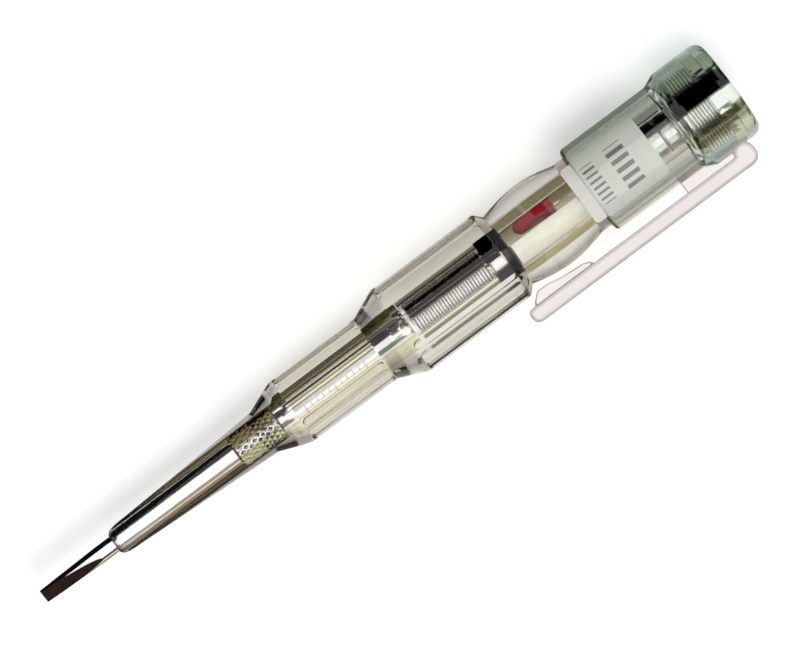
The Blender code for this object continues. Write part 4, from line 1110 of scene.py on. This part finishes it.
def make_studio():
    """White surroundings, a pale floor, the cards that the metal mirrors, and one soft lamp."""
    scene = bpy.context.scene
    scene.view_settings.view_transform = "Standard"
    scene.world = bpy.data.worlds.new("studio")
    f = Finish(scene.world)
    white = f.add("Background", None, {"Color": (1, 1, 1), "Strength": 1.0})
    dim = f.add("Background", None, {"Color": (1, 1, 1), "Strength": 0.75})
    diffuse = f.add("LightPath", output="Is Diffuse Ray")
    f.finish(f.add("MixShader", None, {0: diffuse, 1: white, 2: dim}))

    bm = bmesh.new()
    bmesh.ops.create_grid(bm, x_segments=1, y_segments=1, size=3.0)
    bmesh.ops.translate(bm, verts=bm.verts, vec=(0, 0, CAD_BOX[0].z - 0.05 * MM))
    f = new_finish("floor")
    floor = piece("floor", bm, f.principled({
        "Base Color": (0.9, 0.9, 0.9), "Roughness": 0.7, "Specular IOR Level": 0.0,
        "Emission Color": (1, 1, 1), "Emission Strength": 0.16,
    }))

    for name, turns, along, radius, colour in CURVED_CARDS:
        stage_card(name, turns, along, radius, colour)
    for cards, lift in ((LOW_CARDS, 0.02 * MM), (CARDS_ON_TOP, 0.03 * MM)):
        for name, side, along, colour in cards:
            floor_strip(name, side, along, CAD_BOX[0].z + lift, colour)

    lamp = bpy.data.lights.new("softbox", "AREA")
    lamp.size = 0.45
    lamp.energy = 4.0
    holder = bpy.data.objects.new("softbox", lamp)
    start = Vector((0.05, -0.35, 0.9))
    aim = (Vector((0.07, 0, 0)) - start).to_track_quat("-Z", "Y").to_matrix().to_4x4()
    holder.matrix_world = Matrix.Translation(start) @ aim
    holder.visible_glossy = False
    bpy.context.scene.collection.objects.link(holder)


make_camera()
make_studio()

# The second colour given to each plastic is the painted shade of its rim
handle_plastic = clear_plastic(
    "clear_plastic", CLEAR, (0.11, 0.09, 0.09), ROUND_RIM, (0.85, 0.83, 0.6), 12.0, (0.94, 0.94, 0.92),
    grips=True)
cap_plastic = clear_plastic(
    "tinted_clear_plastic", (0.985, 1, 0.995), (0.33, 0.35, 0.31), CAP_RIM, (0.5, 0.85, 0.72), 25.0,
    (0.93, 0.95, 0.94))
clip_plastic = clear_plastic(
    "clip_plastic", CLEAR, (0.3, 0.26, 0.25), CLIP_RIM, (0.8, 0.73, 0.72), 200.0, (0.94, 0.92, 0.92))
nickel = bright_metal("nickel_plate", NICKEL_LIGHT, NICKEL_DARK, 0.08)
spring_wire = bright_metal("spring_steel", (0.97, 0.96, 0.94), (0.7, 0.68, 0.65), 0.34)
brass = bright_metal("brass_strip", (0.75, 0.57, 0.28), (0.4, 0.27, 0.1), 0.22)
tinned = bright_metal("tinned_wire", (0.8, 0.77, 0.7), (0.5, 0.47, 0.4), 0.25)

make_handle(handle_plastic)
make_core(painted_core_films(), painted_head_film())
make_blade(blade_steel(), ground_steel())
helix_spring(spring_wire)
make_cup(nickel)
make_washer(moulded("black_plastic", (0.012, 0.012, 0.012), (0.03, 0.028, 0.025), 0.35))
make_disc(brass)
make_cap(cap_plastic)
make_plug(plug_metal())
make_clip(clip_plastic)
make_carrier(moulded("white_plastic", (0.86, 0.85, 0.76), (0.7, 0.68, 0.56), 0.25, 700.0, 0.3))
make_lamp(moulded("red_lens", (0.36, 0.008, 0.016), (0.2, 0.005, 0.01), 0.12, 900.0, 0.05, 0.05))
make_label(label_paper())

seal = moulded("seal_nylon", (0.5, 0.5, 0.44), (0.38, 0.37, 0.32), 0.4)
node_finishes = {
    "transistor": moulded("transistor_epoxy", (0.02, 0.02, 0.02), (0.05, 0.045, 0.04), 0.4),
    "resistor": resistor_enamel(),
    "front_cell_can": nickel, "front_cell_seal": seal, "front_cell_lid": nickel,
    "rear_cell_can": nickel, "rear_cell_seal": seal, "rear_cell_lid": nickel,
}
for wire in ("lamp_lead_near", "lamp_lead_far", "base_wire", "emitter_wire", "resistor_tail"):
    node_finishes[wire] = tinned
for name, finish in node_finishes.items():
    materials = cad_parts[name].data.materials
    materials.clear()
    materials.append(finish)
